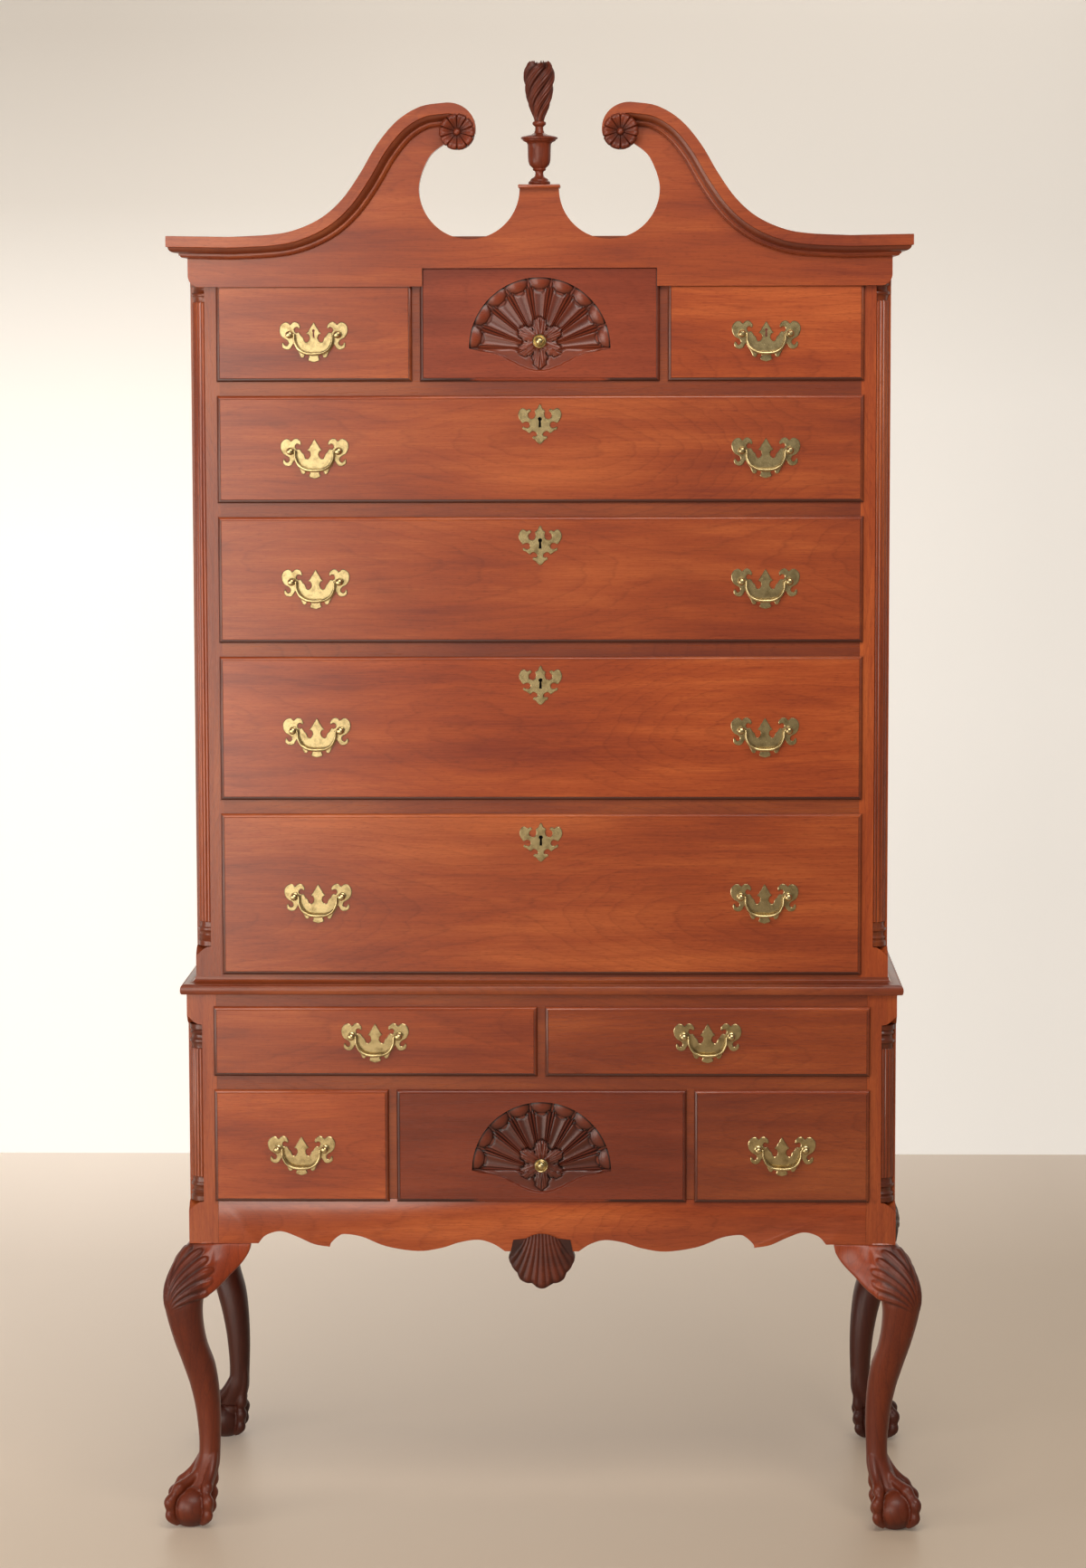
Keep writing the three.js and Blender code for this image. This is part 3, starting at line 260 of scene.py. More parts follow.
@dataclass(frozen=True)
class Wood:
    """A planed or carved wood with rings, fibres and pores along its grain.

    The pattern reads the piece's own "grain" attribute, whose first part runs along the board and
    whose other two are measured from near the tree's heart, and its "tone" attribute, which darkens
    a board and paints shade into carved grooves, coves and moulded edges.
    """

    name: str
    light: str
    middle: str
    dark: str
    line: str
    tone_and_shade: str
    roughness: float
    coat: float
    ring_mm: float = 10.5
    ring_share: float = 0.34
    pore_share: float = 0.3
    gloss: float = 0.5

    def drawn_out(self, tree: Tree, long_mm: float, wide_mm: float, detail: float,
                  roughness: float = 0.5) -> bpy.types.Node:
        """Adds a noise that is drawn out along the grain.

        Args:
            tree: The node tree.
            long_mm: The length of its features.
            wide_mm: Their width.
            detail: How many finer layers it has.
            roughness: How strong those are.

        Returns:
            The noise.
        """
        grain = add(tree, "ShaderNodeAttribute", {"attribute_name": "grain"}).outputs["Vector"]
        across = 1 / (wide_mm * MM)
        place = add(tree, "ShaderNodeMapping", inputs={
            "Vector": grain, "Scale": (1 / (long_mm * MM), across, across)})
        return add(tree, "ShaderNodeTexNoise", inputs={
            "Vector": place.outputs[0], "Scale": 1.0, "Detail": detail, "Roughness": roughness})

    def late_wood(self, tree: Tree, fibre: Socket) -> Socket:
        """Adds the rings round the tree's heart, which a flat-sawn board shows as nested arches.

        Args:
            tree: The node tree.
            fibre: The fibres, which fray the rings.

        Returns:
            How much of a ring's dark late wood lies at a place.
        """
        grain = add(tree, "ShaderNodeAttribute", {"attribute_name": "grain"}).outputs["Vector"]
        # The heart wanders by about 60 mm over 600 mm of length.
        wander = self.drawn_out(tree, 620.0, 5000.0, 1.0).outputs[1]
        heart = add(tree, "ShaderNodeVectorMath", {"operation": "MULTIPLY_ADD"}, {
            0: wander, 1: (0.0, 0.34, 0.16), 2: (0.0, -0.17, -0.08)})
        away = add(tree, "ShaderNodeVectorMath", {"operation": "SUBTRACT"}, {0: grain, 1: heart.outputs[0]})
        flat = add(tree, "ShaderNodeVectorMath", {"operation": "MULTIPLY"}, {
            0: away.outputs[0], 1: (0.0, 1.0, 1.0)})
        distance = add(tree, "ShaderNodeVectorMath", {"operation": "LENGTH"}, {0: flat.outputs[0]})
        # The rings waver by a few millimetres.
        waver = self.drawn_out(tree, 130.0, 26.0, 2.0).outputs[0]
        bent = maths(tree, "MULTIPLY_ADD", waver, 16.0 * MM, distance.outputs["Value"])
        frayed = maths(tree, "MULTIPLY_ADD", fibre, 2.4 * MM, bent)
        turns = maths(tree, "MULTIPLY", frayed, 1 / (self.ring_mm * MM))
        # Each ring darkens slowly and ends in a thin dark line.
        return looked_up(tree, maths(tree, "FRACT", turns), (
            (0.0, 0.0), (0.6, 0.12), (0.84, 0.35), (0.92, 1), (1.0, 0.0)))

    def material(self) -> bpy.types.Material:
        """Builds the material.

        Returns:
            The material.
        """
        material, tree, shader = blank_material(self.name)
        tone = add(tree, "ShaderNodeAttribute", {"attribute_name": "tone"}).outputs["Fac"]
        # Soft bands along the board, and under them its slow drift from orange to red.
        band = self.drawn_out(tree, 300.0, 34.0, 3.0, 0.55).outputs[0]
        drift = self.drawn_out(tree, 420.0, 130.0, 1.0).outputs[0]
        # Fibres about 1.6 mm wide, drawn twice as coarse as real ones so that they show.
        fibre = self.drawn_out(tree, 55.0, 1.6, 3.0, 0.6).outputs[0]
        figure = mixed(tree, 0.24, mixed(tree, 0.45, band, drift), fibre)
        colour = looked_up(tree, figure, (
            (0.36, linear(self.light)), (0.5, linear(self.middle)), (0.66, linear(self.dark))))
        rings = maths(tree, "MULTIPLY", self.late_wood(tree, fibre), self.ring_share)
        # Open pores, dark dashes about 1 by 9 mm, drawn twice as coarse as real ones so that they show.
        dash = self.drawn_out(tree, 9.0, 1.0, 1.0).outputs[0]
        pores = stretched(tree, dash, 0.54, 0.72, 0.0, self.pore_share)
        # Smoky patches of stain, about 170 by 60 mm, on a small part of the board.
        smoke = self.drawn_out(tree, 170.0, 60.0, 4.0, 0.6).outputs[0]
        patch = stretched(tree, smoke, 0.62, 0.84, 0.0, 0.45)
        # The tone blends towards the darkest colour: a board's own darker tone, and painted shade.
        for share, over in ((rings, self.line), (pores, self.line), (patch, self.line), (tone, self.tone_and_shade)):
            colour = blended(tree, share, colour, linear(over))
        tree.links.new(colour, shader.inputs["Base Color"])
        rough = fine_relief(tree, shader, fibre, 0.1, self.roughness)
        # Dark grooves hold old wax and are duller than the polished board.
        tree.links.new(maths(tree, "MULTIPLY_ADD", tone, 0.2, rough), shader.inputs["Roughness"])
        shader.inputs["Coat Weight"].default_value = self.coat
        shader.inputs["Coat Roughness"].default_value = 0.18
        shader.inputs["Specular IOR Level"].default_value = self.gloss
        shader.inputs["IOR"].default_value = 1.5
        return material


@dataclass(frozen=True)
class Brass:
    """Cast and polished brass with a thin brown tarnish in patches."""

    name: str
    bright: str
    tarnish: str
    roughness: float
    cloud_mm: float = 12.0
    scuff_mm: float = 1.5

    def material(self) -> bpy.types.Material:
        """Builds the material.

        Returns:
            The material.
        """
        material, tree, shader = blank_material(self.name)
        place = add(tree, "ShaderNodeTexCoord").outputs["Object"]
        # Tarnish lies in clouds, and hand-polishing leaves fine scuffs.
        cloud = add(tree, "ShaderNodeTexNoise", inputs={
            "Vector": place, "Scale": 1 / (self.cloud_mm * MM), "Detail": 4.0, "Roughness": 0.6}).outputs[0]
        scuff = add(tree, "ShaderNodeTexNoise", inputs={
            "Vector": place, "Scale": 1 / (self.scuff_mm * MM), "Detail": 2.0}).outputs[0]
        colour = looked_up(tree, cloud, ((0.46, linear(self.bright)), (0.82, linear(self.tarnish))))
        tree.links.new(colour, shader.inputs["Base Color"])
        tree.links.new(fine_relief(tree, shader, scuff, 0.06, self.roughness), shader.inputs["Roughness"])
        shader.inputs["Metallic"].default_value = 1.0
        return material


# Polished boards: warm orange-red, with rings and a soft sheen from the window.
WALNUT = Wood("stained_walnut", "bb6030", "9e4823", "7c321d", "581e10", "220a06", 0.2, 0.24,
              ring_share=0.24, gloss=0.44)
# The two carved drawers' boards: a darker, plainer red that sets them off from the rest.
SHELL_WALNUT = Wood("stained_walnut_dark_board", "94452a", "823822", "662a1a", "4a190f", "1a0906", 0.22, 0.18,
                    ring_share=0.12, gloss=0.36)
# Carved work: duller and browner, so that its grooves read.
CARVED = Wood("carved_walnut", "863c26", "70301c", "502012", "331109", "170706", 0.36, 0.06,
              pore_share=0.2, gloss=0.3)
# The legs: a deep red with broad, soft highlights.
LEG_WALNUT = Wood("leg_walnut", "a84a22", "8e3a1b", "6c2814", "4a180d", "260b07", 0.3, 0.08,
                  pore_share=0.2, gloss=0.35)
# Drawer boxes and backs: pale, dry and matt.
POPLAR = Wood("planed_poplar", "cbb083", "b79468", "96764e", "7d5f3c", "4a3826", 0.62, 0.0, 8.0)
# Painted shade: a dark sheet that stands for the shadowed inside of a keyhole.
KEYHOLE_SHADE = Wood("unlit_walnut", "1a0d09", "140a07", "0e0705", "0a0504", "070404", 0.8, 0.0, gloss=0.05)
# Pulls, escutcheons and knobs: soft yellow gleams and brown clouds.
BRASS = Brass("polished_brass", "c2b082", "7a6640", 0.24)

_materials: dict[str, bpy.types.Material] = {}


def finish_of(finish: Wood | Brass) -> bpy.types.Material:
    """Builds a finish's material once.

    Args:
        finish: The finish.

    Returns:
        Its material.
    """
    if finish.name not in _materials:
        _materials[finish.name] = finish.material()
    return _materials[finish.name]


def skin(rows: Sequence[Sequence[Vector]], closed: bool = True, caps: bool = True) -> BMesh:
    """Lays a grid over rows of points and welds it into a skin.

    Args:
        rows: Rows of as many points each.
        closed: Whether each row is a ring.
        caps: Whether the open ends are closed.

    Returns:
        The skin.
    """
    bm = bmesh.new()
    count = len(rows[0])
    across = count if closed else count - 1
    along = len(rows) - 1
    bmesh.ops.create_grid(bm, x_segments=across, y_segments=along, size=0.5)
    grid = {(round((v.co.x + 0.5) * across), round((v.co.y + 0.5) * along)): v for v in bm.verts}
    for (i, j), vert in grid.items():
        vert.co = rows[j][i % count]
    if closed:
        bmesh.ops.weld_verts(bm, targetmap={grid[count, j]: grid[0, j] for j in range(along + 1)})
    bmesh.ops.remove_doubles(bm, verts=bm.verts, dist=1e-3)
    if caps:
        bmesh.ops.edgeloop_fill(bm, edges=[e for e in bm.edges if e.is_boundary])
    bmesh.ops.recalc_face_normals(bm, faces=bm.faces)
    return bm


def sheet_from(outline: Sequence[Vector], depth: Vector) -> BMesh:
    """Makes a board or a plate from an outline.

    Args:
        outline: The outline's points in order.
        depth: How far and which way it is extruded.

    Returns:
        The closed board.
    """
    bm = bmesh.new()
    face = bm.faces.new([bm.verts.new(p) for p in outline])
    made = bmesh.ops.extrude_face_region(bm, geom=[face])
    fresh = [v for v in made["geom"] if isinstance(v, bmesh.types.BMVert)]
    bmesh.ops.translate(bm, vec=depth, verts=fresh)
    bmesh.ops.recalc_face_normals(bm, faces=bm.faces)
    return bm


def block(low: Sequence[float], high: Sequence[float], round_mm: float = 0.0, segments: int = 2) -> BMesh:
    """Makes a board between two corners, with its edges eased.

    Args:
        low: The lowest corner.
        high: The highest corner.
        round_mm: The radius of its edges.
        segments: The steps round an edge.

    Returns:
        The board.
    """
    bm = bmesh.new()
    bmesh.ops.create_cube(bm, size=1.0)
    size = [b - a for a, b in zip(low, high)]
    bmesh.ops.scale(bm, vec=size, verts=bm.verts)
    bmesh.ops.translate(bm, vec=[(a + b) / 2 for a, b in zip(low, high)], verts=bm.verts)
    if round_mm:
        soften(bm, round_mm, segments)
    return bm


def turned(profile: Sequence[Point], axis: Vector, centre: Vector, steps: int) -> BMesh:
    """Turns a profile about an axis.

    Args:
        profile: Points of radius and distance along the axis.
        axis: The axis.
        centre: Where the distance is nought.
        steps: The steps of the turn.

    Returns:
        The closed turning.
    """
    bm = bmesh.new()
    verts = [bm.verts.new((radius, 0, distance)) for radius, distance in profile]
    edges = [bm.edges.new(pair) for pair in zip(verts, verts[1:])]
    bmesh.ops.spin(bm, geom=verts + edges, cent=(0, 0, 0), axis=(0, 0, 1),
                   angle=2 * math.pi, steps=steps, use_merge=True)
    bmesh.ops.remove_doubles(bm, verts=bm.verts, dist=1e-4)
    turn = Vector((0, 0, 1)).rotation_difference(axis).to_matrix().to_4x4()
    bmesh.ops.transform(bm, matrix=Matrix.Translation(centre) @ turn, verts=bm.verts)
    bmesh.ops.recalc_face_normals(bm, faces=bm.faces)
    return bm


def soften(bm: BMesh, width: float, segments: int = 2, angle: float = 30.0, shortest: float = 0.0) -> None:
    """Bevels a mesh's sharp edges.

    Args:
        bm: The mesh.
        width: The bevel's width.
        segments: Its steps.
        angle: The least angle of an edge that counts as sharp, in degrees.
        shortest: The least length of an edge that is bevelled.
    """
    edges = [e for e in bm.edges if e.is_manifold
             and e.calc_face_angle(0.0) > math.radians(angle) and e.calc_length() >= shortest]
    bmesh.ops.bevel(bm, geom=edges, offset=width, offset_type="OFFSET", segments=segments,
                    profile=0.5, affect="EDGES", clamp_overlap=True, material=-1)


def gather(parts: Iterable[BMesh]) -> BMesh:
    """Puts several meshes into one.

    Args:
        parts: The meshes, which are freed.

    Returns:
        The one mesh.
    """
    whole = bmesh.new()
    for part in parts:
        mesh = bpy.data.meshes.new("part")
        part.to_mesh(mesh)
        whole.from_mesh(mesh)
        bpy.data.meshes.remove(mesh)
        part.free()
    return whole


def mirrored_mesh(bm: BMesh, x: bool, y: bool) -> BMesh:
    """Copies a mesh to the other side.

    Args:
        bm: The mesh.
        x: Whether it is turned over in X.
        y: Whether it is turned over in Y.

    Returns:
        The copy, with its faces outwards.
    """
    copy = bm.copy()
    bmesh.ops.scale(copy, vec=(-1 if x else 1, -1 if y else 1, 1), verts=copy.verts)
    if x != y:
        bmesh.ops.reverse_faces(copy, faces=copy.faces)
    return copy


def smooth_line(points: Sequence[Point], steps: int) -> list[Point]:
    """Draws a smooth line through points.

    Args:
        points: The points that it passes through.
        steps: The steps between two of them.

    Returns:
        The points of the line, the last one included.
    """
    line: list[Point] = []
    for i in range(len(points) - 1):
        p = [points[max(0, min(len(points) - 1, i + k))] for k in (-1, 0, 1, 2)]
        for s in range(steps):
            t = s / steps
            line.append(tuple(
                0.5 * (2 * p[1][a] + (p[2][a] - p[0][a]) * t
                       + (2 * p[0][a] - 5 * p[1][a] + 4 * p[2][a] - p[3][a]) * t * t
                       + (3 * p[1][a] - p[0][a] - 3 * p[2][a] + p[3][a]) * t ** 3)
                for a in (0, 1)))
    line.append(tuple(points[-1]))
    return line


def along_table(table: Sequence[Sequence[float]], place: float) -> list[float]:
    """Reads a table of shares smoothly between its rows.

    Args:
        table: Rows whose first number is the place, in rising order.
        place: Where it is read.

    Returns:
        The other numbers there.
    """
    last = len(table) - 1
    i = 0
    while i < last - 1 and table[i + 1][0] < place:
        i += 1
    rows = [table[max(0, min(last, i + k))] for k in (-1, 0, 1, 2)]
    span = rows[2][0] - rows[1][0]
    t = max(0.0, min(1.0, (place - rows[1][0]) / span))
    result = []
    for a in range(1, len(rows[0])):
        slopes = []
        for before, after in ((rows[0], rows[2]), (rows[1], rows[3])):
            run = after[0] - before[0]
            slopes.append((after[a] - before[a]) / run * span if run else 0.0)
        h = (2 * t ** 3 - 3 * t * t + 1, t ** 3 - 2 * t * t + t, 3 * t * t - 2 * t ** 3, t ** 3 - t * t)
        result.append(h[0] * rows[1][a] + h[1] * slopes[0] + h[2] * rows[2][a] + h[3] * slopes[1])
    return result


def smoothstep(low: float, high: float, value: float) -> float:
    """Rises smoothly from 0 to 1 between two values."""
    t = max(0.0, min(1.0, (value - low) / (high - low)))
    return t * t * (3 - 2 * t)


def cad_copy(node: str) -> BMesh:
    """Takes a merged copy of a node's mesh, in millimetres.

    Args:
        node: The node.

    Returns:
        The copy, with its flat faces in one piece each.
    """
    bm = bmesh.new()
    bm.from_mesh(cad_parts[node].data)
    bmesh.ops.scale(bm, vec=(1 / MM,) * 3, verts=bm.verts)
    bmesh.ops.remove_doubles(bm, verts=bm.verts, dist=0.01)
    bmesh.ops.dissolve_limit(bm, angle_limit=math.radians(0.5), verts=bm.verts, edges=bm.edges)
    return bm


def directions(count: int) -> list[tuple[float, float, float]]:
    """Lists evenly spaced angles, each with its cosine and sine."""
    angles = [2 * math.pi * i / count for i in range(count)]
    return [(angle, math.cos(angle), math.sin(angle)) for angle in angles]


def arc(x: float, z: float, radius: float, start: float, end: float, steps: int) -> list[Point]:
    """Draws an arc.

    Args:
        x: Its middle's X.
        z: Its middle's Z.
        radius: Its radius.
        start: The direction of its first point, in radians.
        end: The direction of its last point.
        steps: The steps between the two.

    Returns:
        Its points, with both ends.
    """
    angles = [start + (end - start) * i / steps for i in range(steps + 1)]
    return [(x + radius * math.cos(a), z + radius * math.sin(a)) for a in angles]


@dataclass
class Piece:
    """A finished piece: its mesh and what the frame has to know of it.

    The grain is one way for the whole piece or a rule for its faces. The tone is one number, a
    rule for its places or a number for each vertex.
    """

    name: str
    mesh: BMesh
    finish: Wood | Brass
    body: str
    slot: str
    replaces: tuple[str, ...] = ()
    grain: Grain | Callable[[Face], Grain] = Grain.ACROSS
    tone: Tone | Sequence[float] | float = 0.0
    crease: float = 32.0

    def make(self) -> bpy.types.Object:
        """Writes the mesh, its attributes and its links to the frame.

        Returns:
            The new object.
        """
        bm = self.mesh
        if isinstance(self.finish, Wood):
            self.write_grain(bm)
        bmesh.ops.scale(bm, vec=(MM,) * 3, verts=bm.verts)
        mesh = bpy.data.meshes.new(self.name)
        bm.to_mesh(mesh)
        bm.free()
        mesh.shade_smooth()
        mesh.set_sharp_from_angle(angle=math.radians(self.crease))
        mesh.materials.append(finish_of(self.finish))
        made = bpy.data.objects.new(self.name, mesh)
        bpy.context.scene.collection.objects.link(made)
        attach(made, self.body)
        if self.replaces:
            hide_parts(*self.replaces)
        LOG.info("%s: %d faces on %s", self.name, len(mesh.polygons), self.body)
        return made

    def write_grain(self, bm: BMesh) -> None:
        """Writes the grain's own coordinates and the tone at each corner of each face.

        Args:
            bm: The mesh, in millimetres.
        """
        draw = random.Random(self.name)
        low, high = (Vector([pick(v.co[k] for v in bm.verts) for k in range(3)]) for pick in (min, max))
        middle = (low + high) / 2 * MM
        start = Vector((draw.uniform(0, 40), draw.uniform(0.04, 0.08), draw.uniform(-0.05, 0.05)))
        corner = bm.loops.layers.float_vector.new("grain")
        shade = bm.loops.layers.float.new("tone")
        bm.verts.index_update()
        for face in bm.faces:
            first = (self.grain if isinstance(self.grain, Grain) else self.grain(face)).value
            order = (first, (first + 1) % 3, (first + 2) % 3)
            centre = face.calc_center_median()
            for loop in face.loops:
                place = loop.vert.co * MM - middle
                loop[corner] = Vector([place[k] for k in order]) + start
                if callable(self.tone):
                    # It is read a little inside the face, so that faces that meet at an edge can differ.
                    loop[shade] = self.tone(loop.vert.co.lerp(centre, 0.02))
                else:
                    loop[shade] = self.tone if isinstance(self.tone, float) else self.tone[loop.vert.index]


@dataclass
class QuarterColumn:
    """A reeded quarter column with turned bands, in a corner of the case."""

    radius: float = 20.0
    rebate: float = 22.0
    band: float = 35.0
    reeds: int = 20
    reed_depth: float = 1.7
    shaft_share: float = 0.95
    # Painted shade on the turned bands.
    band_shade: float = 0.4
    steps: int = 6
    # Each point is a share of the band's height and a share of the radius.
    band_shares: tuple[Point, ...] = (
        (0.0, 0.96), (0.02, 1.0), (0.2, 1.0), (0.23, 0.96), (0.27, 0.88), (0.3, 0.9), (0.36, 0.98),
        (0.42, 0.9), (0.46, 0.84), (0.56, 0.84), (0.62, 0.9), (0.66, 0.99), (0.7, 1.01), (0.76, 0.99),
        (0.8, 0.9), (0.9, 0.86), (1.0, 0.86))

    def build(self, centre: Vector, bottom: float, top: float) -> BMesh:
        """Builds the whole round, of which the corner shows a quarter.

        Args:
            centre: The column's axis.
            bottom: The height of its foot.
            top: The height of its head.

        Returns:
            The column's mesh.
        """
        reach = [(bottom + v * self.band, share, 0.0) for v, share in self.band_shares]
        reach += [(z, self.shaft_share, 1.0) for z in (bottom + self.band + 1.5, top - self.band - 1.5)]
        reach += [(top - v * self.band, share, 0.0) for v, share in reversed(self.band_shares)]
        rows = []
        for z, share, reeded in reach:
            row = []
            for angle, c, s in directions(self.reeds * self.steps):
                swell = abs(math.sin(angle * self.reeds / 2)) ** 0.6
                radius = self.radius * share - reeded * self.reed_depth * (1 - swell)
                row.append(Vector((centre.x + radius * c, centre.y + radius * s, z)))
            rows.append(row)
        return skin(rows)

    def tone(self, centre: Vector, bottom: float, top: float, base: float) -> Tone:
        """Gives the rule that paints shade into the grooves between the reeds and onto the bands.

        Args:
            centre: The column's axis.
            bottom: The height of its foot.
            top: The height of its head.
            base: The tone of the reeds.

        Returns:
            The rule.
        """
        def rule(p: Vector) -> float:
            """Reads the tone from the distance to the axis and the height."""
            if min(p.z - bottom, top - p.z) < self.band:
                return base + self.band_shade
            reach = math.hypot(p.x - centre.x, p.y - centre.y)
            return base + 0.45 * smoothstep(0.92 * self.radius, 0.86 * self.radius, reach)
        return rule

    def clear(self, bm: BMesh, axis: Vector) -> None:
        """Draws the plain column of a copied node in, so that it lies under the reeded one.

        Args:
            bm: The copy.
            axis: The column's axis.
        """
        for vert in bm.verts:
            away = Vector((vert.co.x - axis.x, vert.co.y - axis.y, 0))
            on_column = abs(away.length - self.radius) < 0.5 or 0.05 < away.length < self.radius
            if on_column and away.x * axis.x > -0.5 and away.y < 0.5:
                vert.co -= away * 0.4


@dataclass
class Case:
    """The two carcasses with their posts, columns and backs."""

    post_width: float = 43.0
    ease: float = 0.7
    # Painted shade on the rails, which the drawers' lips overhang.
    rail_shade: float = 0.4
    # Painted shade darkens the left posts, where the window's haze is strong.
    post_tones: tuple[float, float] = (0.32, 0.0)
    column: QuarterColumn = field(default_factory=QuarterColumn)
    upper: Box = field(default_factory=lambda: Box.of("upper_carcass"))
    lower: Box = field(default_factory=lambda: Box.of("lower_carcass"))
    # The heights of each column's foot and head, and its tone. The upper one runs on behind the
    # rounded corner of the pediment board.
    upper_column: tuple[float, float, float] = (859.3, 1829.0, 0.12)
    lower_column: tuple[float, float, float] = (484.0, 746.0, 0.3)

    def carcass(self, node: str, half: float, face: float) -> None:
        """Finishes a copy of a carcass: posts and sides upright, rails across.

        Args:
            node: The carcass.
            half: Its half width.
            face: Where its front face lies.
        """
        bm = cad_copy(node)
        opening = half - self.post_width
        inset = self.column.rebate
        for side in Side:
            self.column.clear(bm, Vector((side.value * (half - inset), face + inset, 0)))
            bmesh.ops.bisect_plane(bm, geom=bm.verts[:] + bm.edges[:] + bm.faces[:],
                                   plane_co=(side.value * opening, 0, 0), plane_no=(1, 0, 0))
        # Painted shade darkens the rails and the left posts.
        Piece(f"{node}_wood", bm, WALNUT, "case", "walnut", (node,),
              lambda f: Grain.UP if abs(f.calc_center_median().x) > opening else Grain.ACROSS,
              lambda p: self.rail_shade if abs(p.x) < opening else self.post_tones[p.x > 0], 1.0).make()

    def columns(self) -> None:
        """Builds the four quarter columns."""
        inset = self.column.rebate
        for tier, box, (low, high, tone) in (("upper", self.upper, self.upper_column),
                                             ("lower", self.lower, self.lower_column)):
            for side in Side:
                centre = Vector((side.value * (box.high.x - inset), box.low.y + inset, 0))
                Piece(f"{tier}_column_{side.name.lower()}", self.column.build(centre, low, high), WALNUT,
                      "case", "carved_walnut", grain=Grain.UP,
                      tone=self.column.tone(centre, low, high, tone)).make()

    def backs(self) -> None:
        """Finishes the two back panels."""
        for node in ("upper_back", "lower_back"):
            box = Box.of(node)
            Piece(f"{node}_boards", block(box.low, box.high, self.ease), POPLAR, "case", "poplar",
                  (node,), tone=0.1).make()

    def build(self) -> None:
        """Builds all of the case."""
        self.carcass("upper_carcass", self.upper.high.x, self.upper.low.y)
        self.carcass("lower_carcass", self.lower.high.x, self.lower.low.y)
        self.columns()
        self.backs()


@dataclass
class Cornice:
    """The section of the cornice and of the scrolls that it climbs into."""

    projection: float = 28.0
    height: float = 32.0
    cove_steps: int = 6

    def section(self) -> list[Point]:
        """Works out the section: a fascia, a deep cove, a fillet and a small cove.

        Returns:
            Points of projection and depth below the top edge.
        """
        p, h = self.projection, self.height
        points = [(0.0, 0.0), (p - 0.5, 0.0), (p, 0.5), (p, 0.47 * h), (p - 0.4, 0.485 * h),
                  (0.93 * p, 0.495 * h)]
        for cove_from, cove_to in (((0.9 * p, 0.51 * h), (0.43 * p, 0.76 * h)),
                                   ((0.33 * p, 0.87 * h), (0.05 * p, 0.975 * h))):
            for i in range(self.cove_steps + 1):
                a = math.pi / 2 * i / self.cove_steps
                points.append((cove_from[0] + (cove_to[0] - cove_from[0]) * (1 - math.cos(a)),
                               cove_from[1] + (cove_to[1] - cove_from[1]) * math.sin(a)))
            if cove_from[0] > 0.5 * p:
                points += [(0.4 * p, 0.77 * h), (0.4 * p, 0.85 * h), (0.36 * p, 0.86 * h)]
        points += [(0.02 * p, 0.985 * h), (0.0, h)]
        return points

    def tone(self, out: float) -> float:
        """Paints shade into the coves, by how far a place stands out of the case."""
        share = out / self.projection
        return 0.55 if 0.42 < share < 0.94 else 0.3 if share < 0.34 else 0.12


